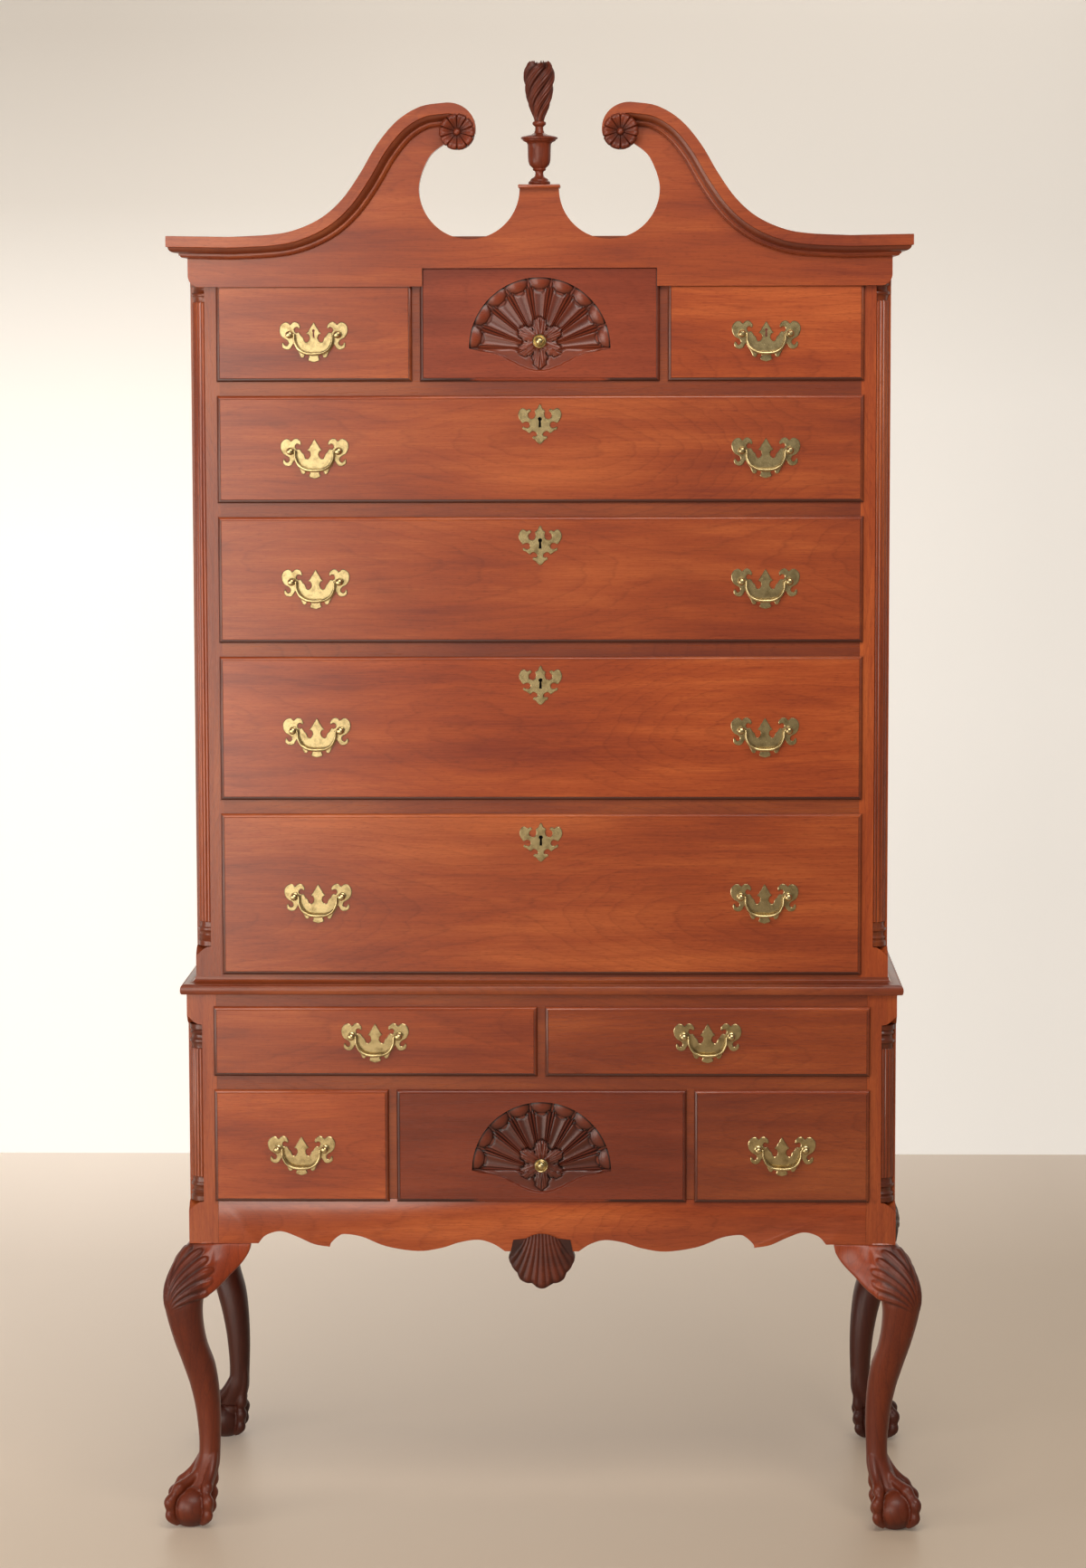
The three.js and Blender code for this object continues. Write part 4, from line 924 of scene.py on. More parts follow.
@dataclass
class Pediment:
    """The scrolled pediment: board, gooseneck mouldings, rosettes and finial."""

    cornice: Cornice = field(default_factory=Cornice)
    board: Box = field(default_factory=lambda: Box.of("pediment_board"))
    upper: Box = field(default_factory=lambda: Box.of("upper_carcass"))
    gap: float = 0.3
    thickness: float = 20.0
    rise: float = 190.0
    start_half: float = 442.0
    rosette_half: float = 116.0
    rosette_drop: float = 44.5
    rosette_radius: float = 26.0
    rosette_proud: float = 5.0
    curl_from: float = 64.0
    curl_to: float = 186.0
    curl_widening_share: float = 0.74
    curl_power: float = 1.6
    curl_core_share: float = 0.25
    curl_steps: int = 18
    opening_radius: float = 72.0
    opening_half: float = 100.0
    opening_rise: float = 67.0
    cap_half: float = 30.0
    cap_height: float = 5.0
    cap_depth: float = 44.0
    petals: int = 10
    corner_round: float = 16.0
    flame_lobes: int = 6
    flame_turns: float = 0.56
    flame_height: float = 86.0
    flame_radius: float = 22.6
    flame_foot: float = 89.0
    flame_steps: int = 70
    flame_sides: int = 168
    # Each point is a share of the run from the rosette to the start, and a share of the rise.
    scroll_shares: tuple[Point, ...] = (
        (1, -0.008), (0.813, 0.008), (0.702, 0.046), (0.592, 0.134), (0.503, 0.268),
        (0.426, 0.452), (0.35, 0.67), (0.261, 0.848), (0.16, 0.952))
    # Each ring is a share of the rosette's radius, a share of its proudness, and a share of the carving.
    rosette_shares: tuple[tuple[float, float, float], ...] = (
        (0.94, 0.0, 0.0), (0.95, 0.6, 0.3), (0.99, 0.82, 1.0), (0.96, 0.93, 1.0), (0.86, 1.0, 1.0),
        (0.74, 0.99, 0.9), (0.6, 0.93, 0.8), (0.46, 0.86, 0.6), (0.32, 0.8, 0.45), (0.22, 0.77, 0.2),
        (0.19, 0.82, 0.0), (0.17, 0.88, 0.0), (0.13, 0.93, 0.0), (0.07, 0.95, 0.0), (0.02, 0.955, 0.0))
    # Points of radius and height: a stepped foot, a stem, a cup, a wide lip, a neck and a collar.
    urn_profile: tuple[Point, ...] = (
        (0, 0), (14.6, 0), (15.5, 1.0), (15.6, 3.4), (14.4, 4.8), (13.0, 5.4), (12.6, 7.2), (11.2, 8.6),
        (7.8, 10.4), (6.0, 13.0), (5.7, 16.0), (6.3, 18.6), (8.8, 20.0), (9.6, 21.4), (9.0, 22.8),
        (11.0, 24.6), (14.2, 28.0), (15.9, 33.0), (16.3, 40.0), (16.4, 50.0), (16.8, 57.0), (18.6, 59.6),
        (22.4, 61.2), (23.6, 62.2), (23.8, 63.2), (26.2, 64.6), (26.4, 66.6), (24.0, 68.0), (12.5, 70.4),
        (7.4, 73.0), (5.9, 77.0), (5.8, 81.6), (7.4, 83.0), (9.4, 84.6), (9.8, 86.6), (9.0, 88.6),
        (6.4, 89.8), (0, 90.0))
    # Share of the flame's height and of its radius.
    flame_shares: tuple[Point, ...] = (
        (0, 0.3), (0.06, 0.36), (0.16, 0.52), (0.3, 0.74), (0.45, 0.86), (0.6, 0.95), (0.75, 1.0),
        (0.88, 0.93), (0.96, 0.76), (1.0, 0.6))
    # The rings that close its tip: share of its radius and how far they lie below the strands' ends.
    flame_tip: tuple[Point, ...] = ((0.5, 2.0), (0.34, 9.0), (0.05, 14.0))

    def __post_init__(self) -> None:
        """Works out the places that the parts share."""
        self.cornice_z = self.upper.high.z
        self.rosette_z = self.cornice_z + self.rise - self.rosette_drop
        self.opening_z = self.cornice_z + self.opening_rise
        self.urn_z = self.opening_z + self.cap_height + self.gap
        self.flame_z = self.urn_z + self.flame_foot
        self.face = self.board.low.y
        self.front = self.face - self.gap
        self.axis_y = self.face + self.thickness / 2

    def edge(self) -> list[Point]:
        """Works out the top edge of the right-hand scroll.

        Returns:
            Points of X and Z from the cornice to the end of the curl.
        """
        run = self.start_half - self.rosette_half
        places = [(self.rosette_half + u * run, self.cornice_z + v * self.rise)
                  for u, v in self.scroll_shares]
        curl = []
        for i in range(self.curl_steps + 1):
            t = i / self.curl_steps
            angle = math.radians(self.curl_from + t * (self.curl_to - self.curl_from))
            radius = self.rosette_radius * (1 + self.curl_widening_share * (1 - t) ** self.curl_power)
            curl.append((self.rosette_half + radius * math.cos(angle),
                         self.rosette_z + radius * math.sin(angle)))
        return smooth_line([*places, curl[0]], 5)[:-1] + curl

    def scroll(self, side: Side) -> BMesh:
        """Carries the cornice's section round the side, up the scroll and into the curl.

        Args:
            side: The side of the case.

        Returns:
            The moulding's mesh.
        """
        half = self.upper.high.x + self.gap
        section = self.cornice.section()
        rows = []
        for y, out in ((self.upper.high.y, Vector((1, 0, 0))), (self.front, Vector((1, -1, 0)))):
            origin = Vector((half, y, self.cornice_z))
            rows.append([origin + out * p - Vector((0, 0, d)) for p, d in section])
        edge = self.edge()
        for i, (x, z) in enumerate(edge):
            before, after = edge[max(i - 1, 0)], edge[min(i + 1, len(edge) - 1)]
            along = Vector((after[0] - before[0], 0, after[1] - before[1])).normalized()
            down = Vector((-along.z, 0, along.x)) if i else Vector((0, 0, -1))
            room = math.dist((x, z), (self.rosette_half, self.rosette_z))
            share = min(1.0, (room - self.curl_core_share * self.rosette_radius) / self.cornice.height)
            rows.append([Vector((x, self.front - p, z)) + down * (d * share) for p, d in section])
        bm = skin(rows)
        return mirrored_mesh(bm, True, False) if side is Side.LEFT else bm

    def rosette(self, side: Side) -> BMesh:
        """Carves the rosette at the end of a scroll.

        Args:
            side: The side of the case.

        Returns:
            The rosette's mesh.
        """
        proud = self.cornice.projection + self.rosette_proud
        rows = []
        for radius, height, carved in self.rosette_shares:
            row = []
            for angle, c, s in directions(self.petals * 16):
                phase = abs(math.cos(angle * self.petals / 2))
                notch = max(0.0, 1 - phase / 0.35) ** 1.5
                vein = max(0.0, 1 - (1 - phase) / 0.05)
                reach = self.rosette_radius * (radius - 0.1 * carved * notch * smoothstep(0.7, 1.0, radius))
                rise = proud * height - carved * (3.6 * notch + 0.8 * vein * (radius < 0.9))
                row.append(Vector((side.value * self.rosette_half + reach * c, self.front - rise,
                                   self.rosette_z + reach * s)))
            rows.append(row)
        return skin(rows)

    def board_outline(self) -> list[Point]:
        """Works out the right-hand half of the board's outline.

        Returns:
            Points of X and Z from the middle of its foot to the middle of the plinth.
        """
        drawer = Box.of("drawer_top_centre")
        lip = 4.0
        notch_half, notch_z = drawer.high.x - lip, drawer.high.z - lip
        half, foot, corner = self.upper.high.x, self.board.low.z, self.corner_round
        line = [(0.0, notch_z), (notch_half, notch_z), (notch_half, foot),
                *arc(half - corner, foot + corner, corner, -math.pi / 2, 0.0, 8), (half, self.cornice_z)]
        line += self.edge()[:-6]
        line += arc(self.rosette_half, self.rosette_z, self.rosette_radius * 0.92, math.pi,
                    math.radians(320), 8)
        middle, radius = (self.opening_half, self.opening_z), self.opening_radius
        throat = [line[-1], (middle[0] + 0.8 * radius, middle[1] + (self.rosette_z - middle[1]) * 0.55),
                  (middle[0] + radius, middle[1]),
                  (middle[0] + radius * math.cos(0.6), middle[1] - radius * math.sin(0.6))]
        return line + smooth_line(throat, 6)[1:13] + arc(*middle, radius, 0.0, -math.pi, 40)[1:]

    def tympanum(self) -> BMesh:
        """Cuts the board and adds the plinth's cap.

        Returns:
            The mesh.
        """
        half = self.board_outline()
        left = [(-x, z) for x, z in reversed(half) if x > 0]
        board = sheet_from([Vector((x, self.face, z)) for x, z in half + left],
                           Vector((0, self.thickness, 0)))
        cap = block((-self.cap_half, self.axis_y - self.cap_depth / 2, self.opening_z),
                    (self.cap_half, self.axis_y + self.cap_depth / 2, self.opening_z + self.cap_height),
                    1.4, 3)
        return gather([board, cap])

    def flame_shape(self, angle: float, v: float) -> tuple[float, float]:
        """Gives the swell of the flame's lobes and the depth between their strands.

        Args:
            angle: The direction from its axis.
            v: The share of its height.

        Returns:
            Both, from 0 to 1.
        """
        phase = (angle / (2 * math.pi) - v * self.flame_turns) * self.flame_lobes % 1.0
        return math.sin(math.pi * phase) ** 0.6, 0.5 + 0.5 * math.cos(8 * math.pi * phase)

    def flame(self) -> BMesh:
        """Carves the twisted flame over the urn.

        Returns:
            The flame's mesh.
        """
        rows = []
        for j in range(self.flame_steps + 1):
            v = j / self.flame_steps
            widest = self.flame_radius * along_table(self.flame_shares, v)[0]
            depth = smoothstep(0.0, 0.12, v)
            row = []
            for angle, c, s in directions(self.flame_sides):
                swell, strands = self.flame_shape(angle, v)
                radius = widest * (1 - depth * (0.2 * (1 - swell) + 0.07 * strands))
                tip = smoothstep(0.8, 1.0, v) * (7.0 * (swell - 1) - 4.0 * strands)
                row.append(Vector((radius * c, self.axis_y + radius * s,
                                   self.flame_z + v * self.flame_height + tip)))
            rows.append(row)
        last = self.flame_shares[-1][1]
        for share, drop in self.flame_tip:
            rows.append([Vector((p.x * share / last, (p.y - self.axis_y) * share / last + self.axis_y,
                                 p.z - drop)) for p in rows[self.flame_steps]])
        return skin(rows)

    def build(self) -> None:
        """Builds the pediment."""
        Piece("pediment_front", self.tympanum(), WALNUT, "case", "walnut", ("pediment_board",),
              tone=0.12).make()
        for side in Side:
            name = side.name.lower()
            Piece(f"gooseneck_{name}", self.scroll(side), WALNUT, "case", "walnut",
                  (f"scroll_moulding_{name}",), tone=self.scroll_shade, crease=25).make()
            Piece(f"rosette_{name}", self.rosette(side), CARVED, "case", "walnut",
                  tone=self.rosette_tone, crease=50).make()
        urn = turned(self.urn_profile, Vector((0, 0, 1)), Vector((0, self.axis_y, self.urn_z)), 40)
        Piece("finial_urn", urn, CARVED, "case", "carved_walnut", ("finial",), Grain.UP, crease=40).make()
        Piece("finial_flame", self.flame(), CARVED, "case", "carved_walnut",
              grain=Grain.UP, tone=self.flame_shade, crease=60).make()

    def scroll_shade(self, p: Vector) -> float:
        """Gives the moulding's painted shade on the front and on its return."""
        return self.cornice.tone(max(self.face - p.y, abs(p.x) - self.upper.high.x))

    def rosette_tone(self, p: Vector) -> float:
        """Paints shade into the deep parts of a rosette."""
        return 0.6 * smoothstep(1.5, 8.0, p.y - self.front + self.cornice.projection + self.rosette_proud)

    def flame_shade(self, p: Vector) -> float:
        """Paints shade into the flame between its lobes and strands."""
        angle = math.atan2(p.y - self.axis_y, p.x)
        swell, strands = self.flame_shape(angle, (p.z - self.flame_z) / self.flame_height)
        return 0.05 + 0.6 * (1 - swell) + 0.3 * strands


@dataclass
class Shell:
    """A concave fan of nine rays with curled ends, and a six-petalled flower at its foot."""

    radius: float = 101.5
    rays: int = 9
    # How far from a ray's middle the grid's lines lie, as shares of half its width.
    ray_marks: tuple[float, ...] = (1.0, 0.95, 0.9, 0.82, 0.74, 0.67, 0.6, 0.5, 0.36, 0.18)
    below_steps: int = 72
    rings: int = 62
    drop: float = 36.0
    flower_rise: float = 10.4
    petals: int = 6
    petal_length: float = 36.0
    petal_half_width: float = 10.6
    bed: float = 3.2
    deepest: float = 8.4
    # Places across a ray, as shares of half its width, and along it, as shares of the radius.
    inner_groove: float = 0.66
    ridge: float = 0.84
    bead_place: float = 0.965
    bead_length: float = 0.135
    # Degrees below the level, and the distance of the sunk field's edge there.
    foot: tuple[Point, ...] = (
        (0.0, 101.5), (1.4, 97.0), (3.0, 80.0), (6.0, 66.0), (12.2, 54.7), (27.8, 43.0), (48.0, 36.5),
        (69.5, 33.6), (90.0, 33.0))

    def angles(self) -> list[float]:
        """Lists the directions of the grid, once round from the right."""
        marks = [(1 - s) / 2 for s in self.ray_marks] + [0.5] + [(1 + s) / 2 for s in self.ray_marks[:0:-1]]
        upper = [math.pi * (k + mark) / self.rays for k in range(self.rays) for mark in marks]
        lower = [math.pi + math.pi * i / self.below_steps for i in range(self.below_steps)]
        return upper + lower

    def rim(self, angle: float) -> float:
        """Gives the edge's distance in a direction."""
        if angle <= math.pi:
            return self.radius
        below = math.degrees(min(angle - math.pi, 2 * math.pi - angle))
        for (a, ra), (b, rb) in zip(self.foot, self.foot[1:]):
            if below <= b:
                return ra + (rb - ra) * (below - a) / (b - a)
        return self.foot[-1][1]

    def petal(self, x: float, z: float) -> tuple[float, float, float]:
        """Gives the flower's carving at a place.

        Args:
            x: The distance to the right of the fan's middle.
            z: The height over the fan's middle.

        Returns:
            How far inside a petal's edge the place lies, its depth below the face there and its painted
            shade.
        """
        dz = z - self.flower_rise
        best = (-99.0, 0.0, 0.0)
        for k in range(self.petals):
            angle = math.radians(30 + 60 * k)
            # The petal that points down is a little longer.
            length = self.petal_length * (1.13 if k == 4 else 1.0)
            t = (x * math.cos(angle) + dz * math.sin(angle)) / length
            s = -x * math.sin(angle) + dz * math.cos(angle)
            if not 0.02 < t < 1:
                continue
            width = self.petal_half_width * (math.sin(math.pi * t ** 1.25) ** 0.7 + 0.1 * math.sin(25 * t))
            inside = width - abs(s)
            if inside > best[0]:
                share = min(1.0, abs(s) / max(width, 0.1))
                vein = max(0.0, 1 - abs(s) / 1.1)
                ribs = 0.5 + 0.5 * math.cos(abs(s) * 1.7 - t * 8)
                depth = 0.2 + 1.4 * share ** 2 + 0.8 * vein + 0.45 * ribs
                depth += 1.2 * (1 - smoothstep(0.05, 0.4, t)) + t ** 5
                best = (inside, depth, 0.2 + 0.4 * share ** 3 + 0.4 * vein + 0.2 * ribs)
        return best

    def carving(self, angle: float, distance: float) -> tuple[float, float]:
        """Gives the carving at a place.

        Args:
            angle: The direction from the fan's middle.
            distance: The distance from it.

        Returns:
            The depth below the drawer's face, and the painted shade.
        """
        inside, petal_depth, petal_tone = self.petal(distance * math.cos(angle), distance * math.sin(angle))
        if inside > 0:
            return petal_depth, petal_tone
        outline = math.exp(inside / 1.6)
        share = distance / self.radius
        if angle > math.pi:
            edge = self.rim(angle) - distance
            return (smoothstep(0.0, self.bed, edge) * (self.bed + 1.2 * outline),
                    0.3 * smoothstep(1.8, 3.6, edge) + 0.6 * outline)
        phase = angle / math.pi * self.rays
        s = abs(2 * (phase - math.floor(phase)) - 1)
        # Each ray is a hollow flute; a groove, a thin ridge and a deeper groove part it from the next.
        grooves = math.exp(-((s - 1.0) / 0.075) ** 2)
        grooves += 0.8 * math.exp(-((s - self.inner_groove) / 0.065) ** 2)
        ridge = math.exp(-((s - self.ridge) / 0.06) ** 2)
        hollow = 1 - min(1.0, s / 0.6) ** 2
        carved = 0.75 * hollow + 0.85 * grooves - 0.4 * ridge
        depth = 2.2 + 3.0 * share ** 1.5 + (0.5 + 2.3 * share) * carved
        depth += 2.0 * outline
        # Painted shade in the grooves, in the hollows and round the petals.
        tone = 0.26 + 0.65 * grooves * smoothstep(0.2, 0.45, share) + 0.3 * hollow + 0.7 * outline
        # Its end is a half-round bead on the rim, with a cut round it that painted shade darkens.
        reach = math.hypot(s / 0.92, (self.bead_place - share) / self.bead_length)
        if reach < 1:
            return 1.3 + 3.0 * reach ** 2.4, 0.16 + 0.5 * reach ** 3 + 0.7 * smoothstep(0.975, 0.99, share)
        around = smoothstep(1.4, 1.0, reach)
        return min(depth + 1.6 * around, self.deepest), min(DARKEST, tone + 0.6 * around)


@dataclass
class Drawer:
    """A lipped drawer: a front with a thumbnail edge, and a dovetailed box behind it."""

    bay: str
    finish: Wood = WALNUT
    shell: Shell | None = None
    proud: float = 7.0
    lip: float = 4.0
    quarter: float = 4.0
    step: float = 1.1
    play: float = 1.6
    front_back: float = 15.0
    wall: float = 13.0
    floor_rise: float = 6.0
    floor_thickness: float = 8.0
    top_play: float = 2.5
    side_drop: float = 5.0
    tail_pitch: float = 30.0
    tail_thickness: float = 0.25
    tone: float = 0.0
    # The painted shade on the moulded edge at the bottom, the left, the right and the top.
    edge_shades: tuple[float, ...] = (0.85, 0.7, 0.5, 0.1)

    def __post_init__(self) -> None:
        """Reads the drawer's place from the frame."""
        self.node = f"drawer_{self.bay}"
        self.box = Box.of(self.node)
        self.face = self.box.low.y + self.proud
        self.side = self.box.high.x - self.lip - self.play - self.box.middle.x
        self.low = self.box.low.z + self.lip + 0.3
        self.top = self.box.high.z - self.lip - self.top_play
        self.back = self.box.high.y

    def edge_profile(self) -> list[Point]:
        """Works out the thumbnail edge.

        Returns:
            Points of inset and distance in front of the case.
        """
        flat = self.proud - self.step
        round_over = arc(self.quarter, flat - self.quarter, self.quarter, math.pi, math.pi / 2, 7)
        return [(0.0, 0.3), *round_over, (self.quarter + 0.7, flat - 0.1),
                (self.quarter + 0.9, self.proud - 0.35), (self.quarter + 1.3, self.proud)]

    def marks(self, inset: float) -> list[Point]:
        """Divides the front's outline as its carving is divided.

        Args:
            inset: The inset at which the division is made.

        Returns:
            For each point, the number of its edge and its share along that edge.
        """
        if self.shell is None:
            return [(k, 0.0) for k in range(4)]
        corners = self.corners(inset)
        middle = self.fan_middle()
        angles = self.shell.angles()
        marks = []
        for angle in angles:
            ray = (math.cos(angle), math.sin(angle))
            for k in range(4):
                (ax, az), (bx, bz) = corners[k], corners[(k + 1) % 4]
                ex, ez = bx - ax, bz - az
                cross = ray[0] * ez - ray[1] * ex
                if abs(cross) < 1e-9:
                    continue
                px, pz = ax - middle[0], az - middle[1]
                t = (px * ez - pz * ex) / cross
                u = (px * ray[1] - pz * ray[0]) / cross
                if t > 0 and -1e-9 <= u < 1:
                    marks.append((k, max(u, 0.0)))
                    break
        for k, (x, z) in enumerate(corners):
            angle = math.atan2(z - middle[1], x - middle[0]) % (2 * math.pi)
            nearest = min(range(len(angles)), key=lambda i: abs(angles[i] - angle))
            marks[nearest] = (k, 0.0)
        return marks

    def corners(self, inset: float) -> list[Point]:
        """Gives the front's four corners at an inset, from the lower right and round to the left."""
        low, high = self.box.low, self.box.high
        return [(high.x - inset, low.z + inset), (high.x - inset, high.z - inset),
                (low.x + inset, high.z - inset), (low.x + inset, low.z + inset)]

    def fan_middle(self) -> Point:
        """Gives the middle of the fan."""
        middle = self.box.middle
        return middle.x, middle.z - self.shell.drop

    def board_tone_and_edge_shade(self, p: Vector) -> float:
        """Gives the tone of the board, and the painted shade on its moulded edge."""
        low, high = self.box.low, self.box.high
        insets = (p.z - low.z, p.x - low.x, high.x - p.x, high.z - p.z)
        if min(insets) > self.quarter + 0.8:
            return self.tone
        return self.edge_shades[insets.index(min(insets))]

    def front(self) -> tuple[BMesh, Tone]:
        """Builds the lipped front, with its carving if it has one.

        Returns:
            The mesh and its tone.
        """
        profile = self.edge_profile()
        marks = self.marks(profile[-1][0])
        rows = []
        for inset, out in profile:
            corners = self.corners(inset)
            row = []
            for k, u in marks:
                (ax, az), (bx, bz) = corners[k], corners[(k + 1) % 4]
                row.append(Vector((ax + (bx - ax) * u, self.face - out, az + (bz - az) * u)))
            rows.append(row)
        if self.shell is None:
            return skin(rows), self.board_tone_and_edge_shade
        x, z = self.fan_middle()
        shell, surface = self.shell, self.face - self.proud
        rings = [1.008, 1.0, 0.994] + [0.974 * (1 - i / shell.rings) + 0.012 for i in range(shell.rings)]
        for i, share in enumerate(rings):
            row = []
            for angle in shell.angles():
                reach = shell.rim(angle) * share
                deep = 0.0 if i < 2 else shell.carving(angle, reach)[0]
                row.append(Vector((x + reach * math.cos(angle), surface + deep, z + reach * math.sin(angle))))
            rows.append(row)

        def tone(p: Vector) -> float:
            """Paints shade into the carving as well as onto the edge."""
            distance = math.hypot(p.x - x, p.z - z)
            if p.y - surface < 0.01 or distance > shell.radius + 0.5:
                return self.board_tone_and_edge_shade(p)
            return self.tone + shell.carving(math.atan2(p.z - z, p.x - x) % (2 * math.pi), distance)[1]

        return skin(rows), tone

    def inner_board(self) -> BMesh:
        """Builds the part of the front that fills the opening."""
        x = self.box.middle.x
        start = self.face + (4.0 if self.shell else -0.3)
        end = self.face + self.front_back
        return block((x - self.side, start, self.low), (x + self.side, end, self.top), 0.6)

    def carcass(self) -> BMesh:
        """Builds the box's sides, back, bottom and dovetails.

        Returns:
            The mesh.
        """
        x, side, low = self.box.middle.x, self.side, self.low
        start, top = self.face + self.front_back, self.top - self.side_drop
        left, right, back = x - side + self.wall, x + side - self.wall, self.back - self.wall
        floor = low + self.floor_rise
        parts = [block(*corners, 0.8) for corners in (
            ((x - side, start, low), (left, self.back, top)),
            ((right, start, low), (x + side, self.back, top)),
            ((left, back, floor), (right, self.back, top)))]
        parts.append(block((left, start, floor), (right, back, floor + self.floor_thickness), 0.4))
        count = max(2, round((top - low) / self.tail_pitch))
        pitch = (top - low) / count
        y0, y1 = self.face + 1.5, start
        for sign in (-1, 1):
            for k in range(count):
                middle = low + (k + 0.5) * pitch
                outline = [Vector((x + sign * side, y, middle + share * pitch)) for y, share in
                           ((y0, -0.4), (y0, 0.4), (y1, 0.28), (y1, -0.28))]
                parts.append(sheet_from(outline, Vector((sign * self.tail_thickness, 0, 0))))
        return gather(parts)

    def build(self) -> None:
        """Builds the drawer."""
        mesh, tone = self.front()
        Piece(f"{self.node}_front", mesh, self.finish, self.node, "walnut", (self.node,), tone=tone,
              crease=38).make()
        Piece(f"{self.node}_inner_front", self.inner_board(), WALNUT, self.node, "walnut", tone=0.1).make()
        Piece(f"{self.node}_box", self.carcass(), POPLAR, self.node, "poplar", grain=Grain.DEEP,
              tone=0.05).make()


def distance_to(point: Point, a: Point, b: Point) -> float:
    """Gives the distance from a point to the line between two others."""
    run = (b[0] - a[0], b[1] - a[1])
    square = run[0] ** 2 + run[1] ** 2
    t = ((point[0] - a[0]) * run[0] + (point[1] - a[1]) * run[1]) / square if square else 0.0
    t = max(0.0, min(1.0, t))
    return math.dist(point, (a[0] + run[0] * t, a[1] + run[1] * t))


def inset_line(outline: Sequence[Point], width: float) -> list[Point]:
    """Draws an outline inwards, by less where it is narrow.

    Args:
        outline: The closed outline, clockwise.
        width: How far it is drawn in.

    Returns:
        As many points, inside.
    """
    count = len(outline)
    result = []
    for i, here in enumerate(outline):
        before, after = outline[i - 1], outline[(i + 1) % count]
        along = Vector((after[0] - before[0], after[1] - before[1]))
        inward = Vector((along.y, -along.x)).normalized()
        share = 1.0
        for _ in range(6):
            point = (here[0] + inward.x * width * share, here[1] + inward.y * width * share)
            room = min(distance_to(point, outline[k - 1], outline[k]) for k in range(count))
            if room > 0.8 * width * share:
                break
            share *= 0.65
        result.append(point)
    return result


def plate_from(half: Sequence[Point], centre: Vector, thickness: float, chamfer: float) -> BMesh:
    """Cuts a symmetrical plate with a flat face and a crisp bevelled rim.

    Args:
        half: The right-hand half of its outline, from the top to the foot.
        centre: Where the outline's own nought lies, on the plate's back.
        thickness: The plate's thickness.
        chamfer: The width of the rim.

    Returns:
        The plate.
    """
    half = smooth_line(half, 2)
    outline = half + [(-x, z) for x, z in reversed(half) if x > 0.01]
    rows = [[centre + Vector((x, -y, z)) for x, z in line] for line, y in
            ((outline, 0.0), (outline, thickness - 0.7 * chamfer), (inset_line(outline, chamfer), thickness))]
    bm = skin(rows)
    bmesh.ops.triangulate(bm, faces=[f for f in bm.faces if len(f.verts) > 4])
    return bm


def refined(stations: Sequence[Sequence[float]], steps: int) -> list[list[float]]:
    """Draws a smooth run through stations.

    Args:
        stations: Rows of as many numbers each.
        steps: The steps between two of them.

    Returns:
        The rows of the run, the last one included.
    """
    table = [(float(i), *row) for i, row in enumerate(stations)]
    return [along_table(table, i / steps) for i in range(steps * (len(stations) - 1) + 1)]


